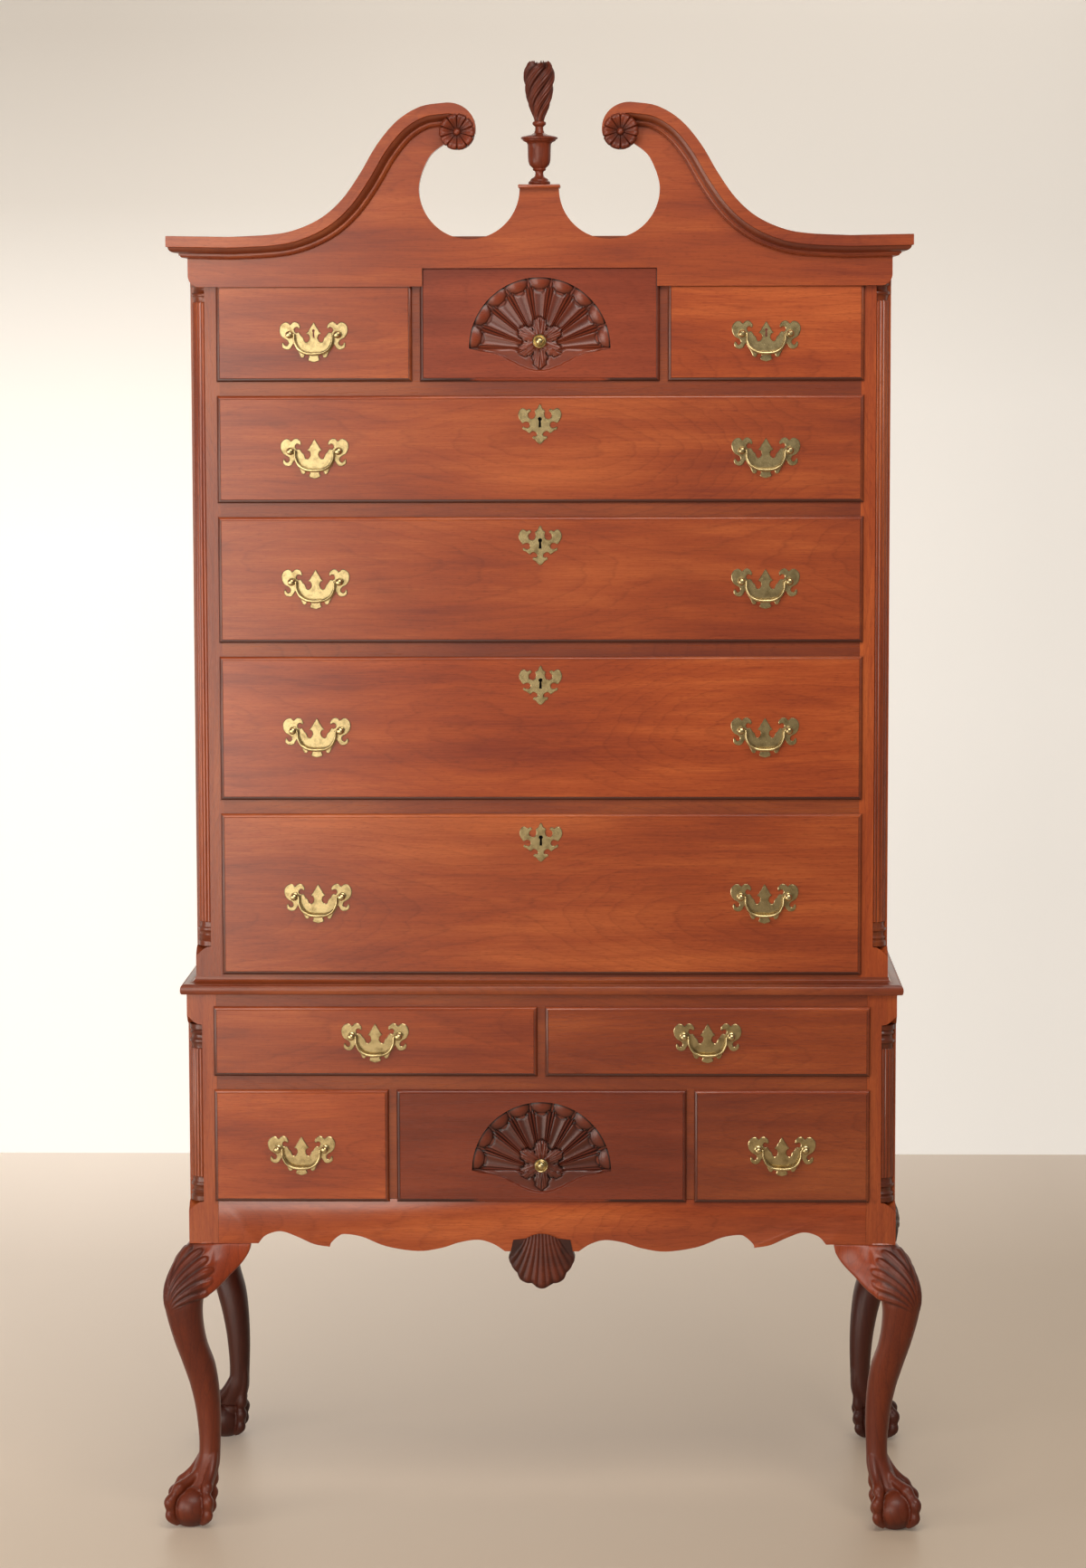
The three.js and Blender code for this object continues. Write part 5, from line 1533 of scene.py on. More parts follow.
@dataclass
class Pull:
    """A bat-wing pull: a cast plate, two posts and a swinging bail."""

    node: str
    body: str
    gap: float = 0.3
    thickness: float = 1.6
    rim: float = 0.9
    post_half: float = 34.5
    standoff: float = 12.0
    # The bail's pintle has this radius in the frame, which places the posts.
    pintle: float = 1.9
    bail_steps: int = 12
    # The keyhole lies this high over the posts and has this radius, foot and depth.
    keyhole_rise: float = 5.6
    keyhole_size: tuple[float, float, float] = (2.0, 10.0, 0.6)
    # The right-hand half of the plate, from the top, measured from the middle between the posts.
    outline: tuple[Point, ...] = (
        (0, 18.2), (2.4, 14.4), (4.4, 10.6), (6.2, 8.2), (7.6, 5.2), (10.8, 1.4), (8.6, 0.6), (6.8, -1.2),
        (5.9, -4.4), (6.9, -7.8), (9.6, -10.8), (12.4, -10.4), (13.8, -7.8), (15.2, -4.2), (17.6, -2.2),
        (19.6, 1.2), (22, 3.6), (24.6, 2.6), (27, 4.2), (27.8, 7.4), (25.8, 10.2), (22.8, 10.2), (21, 8.4),
        (19.2, 10.6), (20.4, 14.6), (24, 17.8), (27.6, 18.6), (31, 17), (33.6, 14.4), (37, 17.4), (41.2, 18),
        (46, 15.2), (48.8, 10.4), (49, 4.8), (47.2, -0.8), (43.8, -4.8), (39.4, -7), (36.8, -9.6),
        (36.2, -12.6), (38, -15.4), (40.6, -15.6), (42.2, -13.6), (44.2, -10.8), (45.6, -13.2), (45.2, -17.8),
        (41.2, -21), (35.8, -21.4), (32.2, -18.6), (29.4, -13.6), (27.6, -15.6), (25.4, -20), (22, -24.8),
        (20.4, -28.4), (18.6, -32), (15.6, -33.2), (13.4, -31.4), (12.4, -28.6), (8.6, -28.8), (6.6, -31.2),
        (8.2, -35), (6.6, -37.6), (0, -39.5))
    # Points of a post's radius and distance from the plate's front: a collar, a neck and a round head.
    post_profile: tuple[Point, ...] = (
        (0, -0.4), (5.6, -0.4), (5.6, 0.7), (4.6, 1.5), (3.2, 2.0), (2.9, 4.5), (3.4, 6.2), (4.9, 7.6),
        (5.3, 9.4), (5.0, 11.6), (3.8, 13.4), (2.0, 14.3), (0, 14.5))
    # The bail's bends, from the right-hand post to its lowest point, and the rod's radius there.
    bends: tuple[tuple[float, float, float], ...] = (
        (29.0, 0.0, 1.5), (27.8, -0.2, 1.6), (27.4, -3.5, 1.6), (26.9, -10.4, 1.7), (21.9, -20.4, 2.0),
        (13.2, -26.0, 2.2), (5.0, -27.4, 2.4), (0.0, -27.6, 2.5))

    def build(self) -> None:
        """Builds the plate with its posts, and the bail."""
        plate, bail = f"plate_{self.node}", f"bail_{self.node}"
        box = Box.of(plate)
        place = Vector((box.middle.x, box.high.y, Box.of(bail).high.z - self.pintle))
        front = place.y - self.thickness
        parts = [plate_from(self.outline, place, self.thickness, self.rim)]
        for sign in (-1, 1):
            foot = Vector((place.x + sign * self.post_half, front, place.z))
            parts.append(turned(self.post_profile, Vector((0, -1, 0)), foot, 20))
        Piece(f"{plate}_brass", gather(parts), BRASS, self.body, "brass", (plate,), crease=20).make()
        if self.node.startswith("top"):
            # Painted shade: a sheet of darkened wood before the plate stands for the keyhole.
            hole = keyhole(Vector((place.x, front - KEYHOLE_PROUD, place.z + self.keyhole_rise)),
                           *self.keyhole_size)
            Piece(f"keyhole_{self.node}", hole, CARVED, self.body, "walnut", tone=0.3).make()
        Piece(f"{bail}_brass", self.bail(place), BRASS, bail, "brass", (bail,), crease=45).make()

    def bail(self, place: Vector) -> BMesh:
        """Bends the bail's rod.

        Args:
            place: The middle between the posts, on the plate's back.

        Returns:
            The bail.
        """
        points = refined([*self.bends, *[(-x, z, radius) for x, z, radius in self.bends[-2::-1]]], 4)
        pivot = Vector((place.x, place.y + self.gap - self.standoff, place.z))
        rows = []
        for i, (x, z, radius) in enumerate(points):
            before, after = points[max(i - 1, 0)], points[min(i + 1, len(points) - 1)]
            along = Vector((after[0] - before[0], 0, after[1] - before[1])).normalized()
            across = Vector((-along.z, 0, along.x))
            rows.append([pivot + Vector((x, 0, z)) + across * (radius * c) + Vector((0, radius * s, 0))
                         for _, c, s in directions(self.bail_steps)])
        return skin(rows)


# How far a keyhole's dark filling of painted shade stands before its plate, in millimetres.
KEYHOLE_PROUD = 0.2


def keyhole(centre: Vector, radius: float, foot: float, depth: float) -> BMesh:
    """Builds the dark filling of a keyhole, a sheet of painted shade.

    Args:
        centre: The middle of its round part, on its front.
        radius: The round part's radius.
        foot: How far its foot lies below that.
        depth: How deep it reaches.

    Returns:
        The mesh.
    """
    foot_half, neck_half, neck = 0.68 * radius, 0.48 * radius, -0.9 * radius
    outline = [(foot_half, -foot), (neck_half, neck),
               *arc(0.0, 0.0, radius, math.radians(-50), math.radians(230), 14),
               (-neck_half, neck), (-foot_half, -foot)]
    return sheet_from([centre + Vector((x, 0, z)) for x, z in outline], Vector((0, depth, 0)))


@dataclass
class Escutcheon:
    """A keyhole plate in the same cut as the pulls."""

    number: int
    thickness: float = 1.6
    rim: float = 0.9
    # The keyhole lies this high over the plate's middle and has this radius, foot and depth.
    keyhole_rise: float = 7.2
    keyhole_size: tuple[float, float, float] = (2.9, 12.0, 0.6)
    # The right-hand half of the plate, from the top, measured from its middle.
    outline: tuple[Point, ...] = (
        (0, 28.9), (1.9, 26.2), (3.4, 22.4), (5.2, 20.8), (7.4, 19), (6.4, 15.2), (7, 11.8), (8.4, 8.8),
        (11.6, 7.4), (15.2, 8.6), (17, 12), (16.2, 15.8), (12.9, 18.4), (13.4, 20.6), (16, 21.8), (19, 20),
        (21.5, 21.6), (24.5, 22.9), (27.9, 21.4), (30.3, 17.4), (31.1, 13.2), (30, 8.4), (27.6, 4.7),
        (24.9, 1.4), (21.6, 3), (18.3, 3.4), (15.6, 1.8), (14.6, -0.9), (15.2, -3.8), (17.6, -5.5),
        (20.6, -5.4), (23.7, -3.4), (25.1, -5), (24.1, -7.8), (20.7, -8.9), (18.2, -10.9), (14.6, -13.3),
        (12.8, -11.2), (10.1, -9.9), (6.8, -11.1), (4.4, -13.7), (4.5, -16), (6.6, -17.6), (9, -17.2),
        (10.8, -18.8), (9.8, -21.2), (6.8, -22.4), (5.1, -24.7), (3.2, -26.8), (0, -28.8))

    def build(self) -> None:
        """Builds the plate and the painted shade that fills its keyhole."""
        node, body = f"escutcheon_long_{self.number}", f"drawer_long_{self.number}"
        box = Box.of(node)
        place = Vector((box.middle.x, box.high.y, box.middle.z))
        Piece(f"{node}_brass", plate_from(self.outline, place, self.thickness, self.rim), BRASS, body,
              "brass", (node,), crease=20).make()
        centre = Vector((place.x, box.low.y - KEYHOLE_PROUD, place.z + self.keyhole_rise))
        Piece(f"keyhole_long_{self.number}", keyhole(centre, *self.keyhole_size), KEYHOLE_SHADE, body, "walnut",
              tone=1.0).make()


@dataclass
class Knob:
    """A small turned brass knob in the flower of a shell."""

    row: str
    # Points of radius and distance from its seat: a foot, a neck and a ringed, dished head.
    profile: tuple[Point, ...] = (
        (0, -4.0), (6.2, -4.0), (6.2, 0.5), (5.0, 2.0), (4.2, 5.0), (4.6, 10.0), (7.5, 12.4), (10.2, 14.2),
        (10.5, 15.8), (9.8, 17.6), (8.6, 18.3), (7.4, 17.6), (6.6, 17.0), (5.8, 17.6), (5.4, 19.6),
        (4.2, 21.2), (2.2, 21.9), (0, 22.0))

    def build(self) -> None:
        """Builds the knob."""
        node = f"knob_{self.row}_centre"
        box = Box.of(node)
        mesh = turned(self.profile, Vector((0, -1, 0)), Vector((box.middle.x, box.high.y, box.middle.z)), 28)
        Piece(f"{node}_brass", mesh, BRASS, f"drawer_{self.row}_centre", "brass", (node,), crease=40).make()


def relax(bm: BMesh, verts: Sequence[bmesh.types.BMVert], times: int) -> None:
    """Smooths some of a mesh's corners several times over."""
    for _ in range(times):
        bmesh.ops.smooth_vert(bm, verts=verts, factor=0.5, use_axis_x=True, use_axis_y=True, use_axis_z=True)


def united(parts: Iterable[BMesh], voxel: float) -> BMesh:
    """Unites overlapping solids into one skin.

    Args:
        parts: The solids, which are freed.
        voxel: The side of the cells that the skin is drawn through.

    Returns:
        The skin.
    """
    whole = gather(parts)
    mesh = bpy.data.meshes.new("parts")
    whole.to_mesh(mesh)
    whole.free()
    holder = bpy.data.objects.new("parts", mesh)
    bpy.context.scene.collection.objects.link(holder)
    remesh = holder.modifiers.new("union", "REMESH")
    remesh.mode = "VOXEL"
    remesh.voxel_size = voxel
    skin_mesh = bmesh.new()
    skin_mesh.from_object(holder, bpy.context.evaluated_depsgraph_get())
    bpy.data.objects.remove(holder)
    bpy.data.meshes.remove(mesh)
    return skin_mesh


@dataclass
class Leg:
    """A cabriole leg with knee blocks, a carved knee and a ball-and-claw foot.

    It is worked out round one corner of the case, at nought, with X and Y outwards, and turned over
    for the other corners.
    """

    corner: Point = (517.0, 255.0)
    height: float = 421.7
    knee_reach: float = 37.0
    post_width: float = 43.0
    post_foot: float = 422.0
    block_reach: float = 47.0
    block_drop: float = 73.0
    block_thickness: float = 26.0
    ball_radius: float = 33.2
    ball_height: float = 59.0
    ball_offset: float = 1.7
    shaft_foot: float = 54.9
    voxel: float = 1.4
    sides: int = 64
    rings: int = 90
    fan_tip: float = 322.0
    fan_degrees: float = 66.0
    fan_lobes: int = 5
    relief: float = 2.6
    shaft_tone: float = 0.56
    column_top: float = 746.0
    tongue: float = 15.0
    # Painted shade that darkens the back legs.
    back_tone: float = 0.3
    # Share of the way up, of the reach outside, of the post's width inside, and squareness.
    stations_shares: tuple[tuple[float, ...], ...] = (
        (0, 0.35, 0.7, 2.0), (0.08, -0.05, 0.9, 2.0), (0.138, -0.23, 0.93, 2.0), (0.287, -0.15, 0.963, 2.1),
        (0.406, 0.06, 0.92, 2.2), (0.509, 0.35, 0.8, 2.3), (0.605, 0.635, 0.56, 2.4),
        (0.708, 0.89, 0.45, 2.5), (0.785, 1.0, 0.49, 2.8), (0.851, 0.92, 0.72, 3.2),
        (0.924, 0.6, 0.92, 4.0), (0.983, 0.17, 0.97, 6.0), (1, 0.02, 0.99, 9.0))
    # Share of the block's reach from the post and how far it hangs down there.
    block_shares: tuple[Point, ...] = (
        (-0.6, 1.12), (-0.3, 1.0), (0.02, 0.85), (0.42, 0.59), (0.74, 0.38), (0.96, 0.15), (1, 0.02))
    # Distance along the diagonal, sideways distance, height and half thickness, from the ankle to the claw.
    outer_talon: tuple[tuple[float, ...], ...] = (
        (-32, 0, 118, 6), (-28, 0, 98, 7), (-21, 0, 82, 7.6), (-10, 0, 72, 7.2), (4, 0, 66, 7.2),
        (15, 0, 62, 7.6), (23, 0, 58, 9.0), (31, 0, 50.5, 6.6), (39.5, 0, 41, 8.6), (38.4, 0, 29.5, 6.4),
        (38.6, 0, 20, 7.4), (31.5, 0, 11, 5.0), (24, 0, 4.5, 2.4))
    side_talon: tuple[tuple[float, ...], ...] = (
        (-39, 4, 122, 6), (-35, 9, 104, 7), (-29, 14, 88, 7.4), (-21, 19, 75, 7.2), (-13, 24, 66, 7.4),
        (-7, 28.5, 58.5, 9.0), (-2, 33, 50.5, 6.6), (0, 39.5, 41, 8.6), (0, 38.4, 29.5, 6.4),
        (0, 38.6, 20, 7.4), (0, 31.5, 11, 5.0), (0, 24, 4.5, 2.4))
    back_talon: tuple[tuple[float, ...], ...] = (
        (-47, 0, 122, 6), (-47, 0, 104, 7), (-45.5, 0, 88, 7.2), (-43, 0, 74, 7.2), (-41, 0, 60, 9.0),
        (-39, 0, 50.5, 6.6), (-40.5, 0, 41, 8.6), (-38.4, 0, 29.5, 6.4), (-38.6, 0, 20, 7.4),
        (-31.5, 0, 11, 5.0), (-24, 0, 4.5, 2.4))
    web_heights: tuple[float, ...] = (112.0, 104.0, 96.0, 89.0, 82.0, 76.0, 71.0, 66.0, 62.0, 58.5, 55.5)
    # The palm closes the claw over the ball: points of radius and height.
    palm: tuple[Point, ...] = ((0, 38), (12, 40), (14.8, 46), (14.8, 68), (12, 76), (0, 80))
    palm_along: float = -18.5
    # Degrees from the middle of the knee's fan, and its length there.
    fan_reach: tuple[Point, ...] = ((0, 99.0), (21, 95.0), (44.5, 83.0), (53, 75.0), (60, 67.0), (70, 60.0))
    # Two carved beads hang under the fan's tip, at these heights.
    bead_heights: Point = (301.0, 292.0)
    smoothings: int = 2
    knee_smoothings: int = 14

    def station(self, z: float) -> tuple[float, float, float]:
        """Gives the shaft's outer and inner reach and its squareness at a height."""
        share = (z - self.shaft_foot) / (self.height - self.shaft_foot)
        outer, inner, power = along_table(self.stations_shares, share)
        return outer * self.knee_reach, -inner * self.post_width, power

    def shaft(self) -> BMesh:
        """Builds the shaft, from inside the ball to the case."""
        rows = []
        for j in range(self.rings + 1):
            z = self.shaft_foot + (self.height - self.shaft_foot) * j / self.rings
            outer, inner, power = self.station(z)
            centre, half = (outer + inner) / 2, (outer - inner) / 2
            row = []
            for _, c, s in directions(self.sides):
                reach = half * (abs(c) ** power + abs(s) ** power) ** (-1 / power)
                row.append(Vector((centre + reach * c, centre + reach * s, z)))
            rows.append(row)
        return skin(rows)

    def swell(self, u: float, z: float) -> float:
        """Gives how far a knee block's face stands out of the case's face."""
        outer = self.station(z)[0]
        return outer * 0.84 * smoothstep(-94.0, -20.0, u) - 0.4

    def knee_block(self) -> BMesh:
        """Builds the block beside the leg under the front, flowing into the knee."""
        rows = []
        down_steps, columns = 26, 34
        for i in range(columns + 1):
            u_share = -0.6 + 1.6 * i / columns
            u = -self.post_width - u_share * self.block_reach
            drop = max(along_table(self.block_shares, u_share)[0] * self.block_drop, 0.4)
            front = []
            for j in range(down_steps + 1):
                z = self.height - drop * j / down_steps
                round_over = 1.6 * smoothstep(0.93, 1.0, j / down_steps)
                front.append(Vector((u, self.swell(u, z) - round_over, z)))
            back = [Vector((u, -self.block_thickness, p.z)) for p in (front[-1], front[0])]
            rows.append(front + back)
        return skin(rows)

    def to_corner(self, along: float, across: float, z: float) -> Vector:
        """Turns a place by the diagonal over the ball's middle into one by the corner."""
        half, offset = math.sqrt(0.5), self.ball_offset
        return Vector((offset + (along - across) * half, offset + (along + across) * half, z))

    def talon(self, stations: Sequence[Sequence[float]], mirror: bool = False) -> BMesh:
        """Builds a talon with its knuckles.

        Args:
            stations: Its stations from the ankle to the claw.
            mirror: Whether it lies on the other side of the diagonal.

        Returns:
            The talon.
        """
        line = refined(stations, 5)
        points = [self.to_corner(a, -b if mirror else b, z) for a, b, z, _ in line]
        centre = self.to_corner(0.0, 0.0, self.ball_height / 2)
        rows = []
        for i, (point, (*_, radius)) in enumerate(zip(points, line)):
            along = (points[min(i + 1, len(points) - 1)] - points[max(i - 1, 0)]).normalized()
            outward = point - centre
            outward = (outward - along * outward.dot(along)).normalized()
            across = along.cross(outward)
            # A talon is a little ridged along its outer side.
            rows.append([point + outward * (radius * (1.0 + 0.1 * c) * c) + across * (radius * 1.02 * s)
                         for _, c, s in directions(16)])
        return skin(rows)

    def web(self) -> BMesh:
        """Builds the skin that stretches between the talons over the ball."""
        talons = [([(-row[2], row[0], row[1]) for row in stations[:8]], sign) for stations, sign in (
            (self.outer_talon, 1), (self.side_talon, 1), (self.back_talon, 1), (self.side_talon, -1))]
        rows = []
        for z in self.web_heights:
            corners = []
            for table, sign in talons:
                along, across = along_table(table, -z)
                corners.append(Vector((along, sign * across, z)))
            middle = sum(corners, Vector()) / 4
            hollow = 0.3 * smoothstep(112.0, 76.0, z)
            row = []
            for first, second in zip(corners, corners[1:] + corners[:1]):
                for t in (s / 8 for s in range(8)):
                    point = first.lerp(second, t).lerp(middle, hollow * 4 * t * (1 - t))
                    row.append(self.to_corner(point.x, point.y, z))
            rows.append(row)
        return skin(rows)

    def ball(self) -> BMesh:
        """Builds the ball, cut flat where it stands."""
        bm = bmesh.new()
        bmesh.ops.create_uvsphere(bm, u_segments=64, v_segments=40, radius=1.0)
        upright = (self.ball_height + 3.0) / 2
        bmesh.ops.scale(bm, vec=(self.ball_radius, self.ball_radius, upright), verts=bm.verts)
        bmesh.ops.translate(bm, vec=self.to_corner(0, 0, self.ball_height - upright), verts=bm.verts)
        return bm

    def fan(self, point: Vector) -> tuple[float, float]:
        """Gives the relief of the knee's carving at a place, and the shade painted into it.

        Args:
            point: A place on the shaft.

        Returns:
            How far the surface is moved outwards, and the painted shade.
        """
        away = abs(point.x - point.y)
        up = point.z - self.fan_tip
        angle = math.degrees(math.atan2(away, up)) if up > 0 or away > 0 else 180.0
        distance = math.hypot(away, up)
        width = self.fan_degrees / self.fan_lobes
        # The flutes bend outwards as they rise.
        phase = ((angle - 0.2 * (distance - 50.0)) % width) / width
        swell = math.sin(math.pi * phase) ** 0.7
        reach = along_table(self.fan_reach, min(angle, self.fan_reach[-1][0]))[0] * (1 - 0.09 * (1 - swell))
        inside = 1 - smoothstep(-1.6, 1.6, distance - reach)
        inside *= 1 - smoothstep(self.fan_degrees - 2, self.fan_degrees + 2, angle)
        depth = smoothstep(2.0, 38.0, distance)
        fine = 0.5 - 0.5 * math.cos(6 * math.pi * phase)
        lip = math.exp(-((distance - reach * 0.93) / 7.0) ** 2)
        carved = 1.6 - self.relief * (1 - swell) - 0.7 * fine + 1.2 * lip * swell
        ground = -0.9 * math.exp(-max(0.0, distance - reach) / 5.0) * (1 - smoothstep(60.0, 74.0, angle))
        shift = inside * depth * carved + (1 - inside) * ground * smoothstep(8.0, 30.0, distance)
        tone = inside * (0.42 * (1 - swell) * depth - 0.02) + 0.25 * math.exp(-abs(distance - reach) / 2.0)
        return shift, tone

    def carve(self, bm: BMesh) -> None:
        """Carves the knee into the leg's outer sides.

        Args:
            bm: The leg.
        """
        bm.normal_update()
        changes = []
        for vert in bm.verts:
            x, y, z = vert.co
            if z < self.fan_tip - 40.0 or max(x, y) < 0.6:
                continue
            facing = smoothstep(0.1, 0.5, max(vert.normal.x, vert.normal.y))
            near = smoothstep(-14.0, -5.0, max(x, y) - self.station(z)[0])
            under = 1 - smoothstep(self.height - 7.0, self.height - 1.5, z)
            beads = sum(1.6 * math.exp(-((z - h) ** 2 + (x - y) ** 2) / 14.0) for h in self.bead_heights)
            changes.append((vert, vert.normal * ((self.fan(vert.co)[0] * under + beads) * facing * near)))
        for vert, change in changes:
            vert.co += change

    def tone(self, point: Vector) -> float:
        """Gives the tone at a place on the leg by the corner."""
        x, y, z = point
        plain = smoothstep(-10.0, -34.0, min(x, y)) * smoothstep(330.0, 352.0, z)
        shade = self.shaft_tone * (1 - plain)
        # Painted shade in the knee's flutes.
        if z > self.fan_tip and max(x, y) > 0.6:
            shade += self.fan(point)[1] * smoothstep(-14.0, -5.0, max(x, y) - self.station(z)[0])
        # Painted shade in the crease where the talons and the web meet the ball.
        if z < 62.0:
            middle = self.to_corner(0, 0, self.ball_height / 2)
            off = Vector((x - middle.x, y - middle.y, (z - middle.z) * 1.12)).length - self.ball_radius
            shade += 0.35 * (1 - smoothstep(0.6, 3.5, off)) * smoothstep(0.4, 2.2, off)
        return min(shade, DARKEST)

    def build(self) -> None:
        """Builds the leg once and sets it at the four corners, with the posts over it."""
        front_block = self.knee_block()
        side_block = front_block.copy()
        swap = Matrix(((0, 1, 0, 0), (1, 0, 0, 0), (0, 0, 1, 0), (0, 0, 0, 1)))
        bmesh.ops.transform(side_block, matrix=swap, verts=side_block.verts)
        bmesh.ops.reverse_faces(side_block, faces=side_block.faces)
        palm = turned(self.palm, Vector((0, 0, 1)), self.to_corner(self.palm_along, 0.0, 0.0), 24)
        parts = [self.shaft(), front_block, side_block, self.ball(), self.web(), palm,
                 self.talon(self.outer_talon), self.talon(self.side_talon), self.talon(self.side_talon, True),
                 self.talon(self.back_talon)]
        whole = united(parts, self.voxel)
        relax(whole, whole.verts, self.smoothings)
        # The knee blocks flow into the knee without a step.
        relax(whole, [v for v in whole.verts if 325.0 < v.co.z < self.height - 3.0
                      and -62.0 < min(v.co.x, v.co.y) < -6.0], self.knee_smoothings)
        self.carve(whole)
        for vert in whole.verts:
            vert.co.z = max(vert.co.z, 0.0)
        tones = [self.tone(v.co) for v in whole.verts]
        bmesh.ops.translate(whole, vec=(*self.corner, 0), verts=whole.verts)
        for end, extra in (("front", 0.0), ("back", self.back_tone)):
            for side in Side:
                node = f"leg_{end}_{side.name.lower()}"
                mesh = mirrored_mesh(whole, side is Side.LEFT, end == "front")
                shades = [min(t + extra, DARKEST) for t in tones]
                Piece(f"{node}_cabriole", mesh, LEG_WALNUT, "case", "carved_walnut", (node,), Grain.UP,
                      shades, 70).make()
                self.post(node, side, end)

    def post(self, node: str, side: Side, end: str) -> None:
        """Builds the post that runs up the case over the leg.

        Args:
            node: The leg's node.
            side: The side of the case.
            end: "front" or "back".
        """
        bm = cad_copy(node)
        cut = bmesh.ops.bisect_plane(bm, geom=bm.verts[:] + bm.edges[:] + bm.faces[:],
                                     plane_co=(0, 0, self.post_foot), plane_no=(0, 0, 1), clear_inner=True)
        edges = [e for e in cut["geom_cut"] if isinstance(e, bmesh.types.BMEdge)]
        bmesh.ops.holes_fill(bm, edges=edges, sides=0)
        if end == "front":
            x, y = self.corner
            # The corner over the column's head is cut to a lamb's tongue.
            for vert in bm.verts:
                if abs(vert.co.z - self.column_top) < 1.0 and abs(vert.co.x) > x - 1.0:
                    vert.co.z += self.tongue * (vert.co.y < 1.0 - y)
            column = QuarterColumn()
            column.clear(bm, Vector((side.value * (x - column.rebate), column.rebate - y, 0)))
        Piece(f"{node}_post", bm, WALNUT, "case", "walnut", grain=Grain.UP, tone=0.16, crease=1.0).make()


@dataclass
class Apron:
    """The shaped front apron and its pendant shell."""

    half: float = 473.7
    base_z: float = 489.0
    drop: float = 78.0
    thickness: float = 20.0
    face: float = -255.0
    shell_tip: float = 356.0
    # The shell's top edge: its half width, its height in the middle and how far it falls to the sides.
    shell_top: tuple[float, float, float] = (26.5, 437.6, 9.5)
    shell_proud: float = 5.0
    shell_across: int = 108
    shell_down: int = 30
    ribs: int = 11
    # Shares of the half width and of the drop; a break in the list is a sharp point in the edge.
    edge_shares: tuple[tuple[Point, ...], ...] = (
        ((1, 0.859), (0.877, 0.859)),
        ((0.877, 0.859), (0.854, 0.705), (0.808, 0.628), (0.757, 0.73), (0.705, 0.872), (0.656, 0.923)),
        ((0.656, 0.923), (0.652, 0.846), (0.629, 0.718), (0.608, 0.679), (0.555, 0.731), (0.481, 0.91),
         (0.383, 1), (0.308, 0.936), (0.255, 0.833), (0.196, 0.782), (0.15, 0.859), (0.114, 1.0)))
    # The shell's lower outline from its tip, sideways and up, in millimetres, by its five lobes.
    lobes: tuple[tuple[Point, ...], ...] = (
        ((0, 0), (5, 0.6), (9.5, 3.4), (13.2, 8.4)),
        ((13.2, 8.4), (18, 7.6), (24, 8.8), (29.5, 11.4), (33.2, 15.5), (36.4, 23.6)),
        ((36.4, 23.6), (39, 26), (42.6, 30.5), (45.4, 36.6)),
        ((45.4, 36.6), (47.2, 40.0), (48.6, 46.0)))
    # The plain corners beside the shell's shoulders, and how far they stand out.
    shoulder: tuple[Point, ...] = (
        (22.0, 430.6), (41.8, 428.2), (45.6, 410.0), (48.0, 403.5), (40, 405), (33, 411), (28, 419))
    shoulder_proud: float = 1.2

    def edge(self) -> list[Point]:
        """Works out the right-hand half of the lower edge, from the post inwards."""
        line: list[Point] = []
        for run in self.edge_shares:
            line += smooth_line([(u * self.half, self.base_z - v * self.drop) for u, v in run], 5)
        return [p for i, p in enumerate(line) if i == 0 or math.dist(p, line[i - 1]) > 0.05]

    def board(self) -> BMesh:
        """Cuts the apron's board."""
        half = [(self.half, self.base_z - 0.3), *self.edge()]
        outline = half + [(-x, z) for x, z in reversed(half)]
        bm = sheet_from([Vector((x, self.face, z)) for x, z in outline], Vector((0, self.thickness, 0)))
        soften(bm, 0.6, 2, 60, 1.2)
        return bm

    def rim(self) -> list[Point]:
        """Works out the shell's right-hand lower outline from the tip, relative to the tip."""
        line: list[Point] = []
        for lobe in self.lobes:
            line += smooth_line(lobe, 6)[:-1]
        return [*line, self.lobes[-1][-1]]

    def shell(self) -> BMesh:
        """Carves the pendant shell.

        Returns:
            Its mesh.
        """
        rim = self.rim()
        lengths = [0.0]
        for before, here in zip(rim, rim[1:]):
            lengths.append(lengths[-1] + math.dist(before, here))
        table = [(length / lengths[-1], *p) for length, p in zip(lengths, rim)]
        top_half, top, fall = self.shell_top
        rows = []
        for v in (j / self.shell_down for j in range(self.shell_down + 1)):
            front, back = [], []
            for i in range(self.shell_across + 1):
                place = -1 + 2 * i / self.shell_across
                s, side = abs(place), 1 if place >= 0 else -1
                x_end, z_end = along_table(table, s)
                x_top, z_top = top_half * s, top - fall * s ** 2
                x = x_top + (x_end - x_top) * v ** 1.55
                z = z_top + (z_end + self.shell_tip - z_top) * (v if s < 0.2 else v ** (1 + 0.28 * (s - 0.2)))
                phase = (place * self.ribs / 2 + 0.5) % 1.0
                swell = abs(math.sin(math.pi * phase)) ** 0.7
                fillet = math.exp(-((phase - 0.5) / 0.09) ** 2)
                dome = (1 - (x / 52) ** 2) * self.shell_proud * (0.55 + 0.5 * v - 0.2 * v * v)
                rise = dome - (0.7 + 1.3 * v) * (1 - swell) + 0.5 * fillet * (1 - 0.6 * v)
                rise -= 2.2 * smoothstep(0.9, 1.0, v) ** 2
                front.append(Vector((side * x, self.face - max(rise, 0.25), z)))
                back.append(Vector((side * x, self.face + self.thickness, z)))
            rows.append(front + back[::-1])
        proud = self.shoulder_proud
        corners = [sheet_from([Vector((side * x, self.face - proud, z)) for x, z in self.shoulder],
                              Vector((0, self.thickness + proud, 0))) for side in (-1, 1)]
        return gather([skin(rows), *corners])

    def shell_shade(self, point: Vector) -> float:
        """Paints shade into the shell's grooves, and darkens its corners."""
        rise = self.face - point.y
        corner = smoothstep(26.0, 30.0, abs(point.x)) * smoothstep(404.0, 412.0, point.z)
        return min(DARKEST, 0.2 + 0.5 * (1 - smoothstep(0.5, 4.4, rise)) + 0.3 * corner)

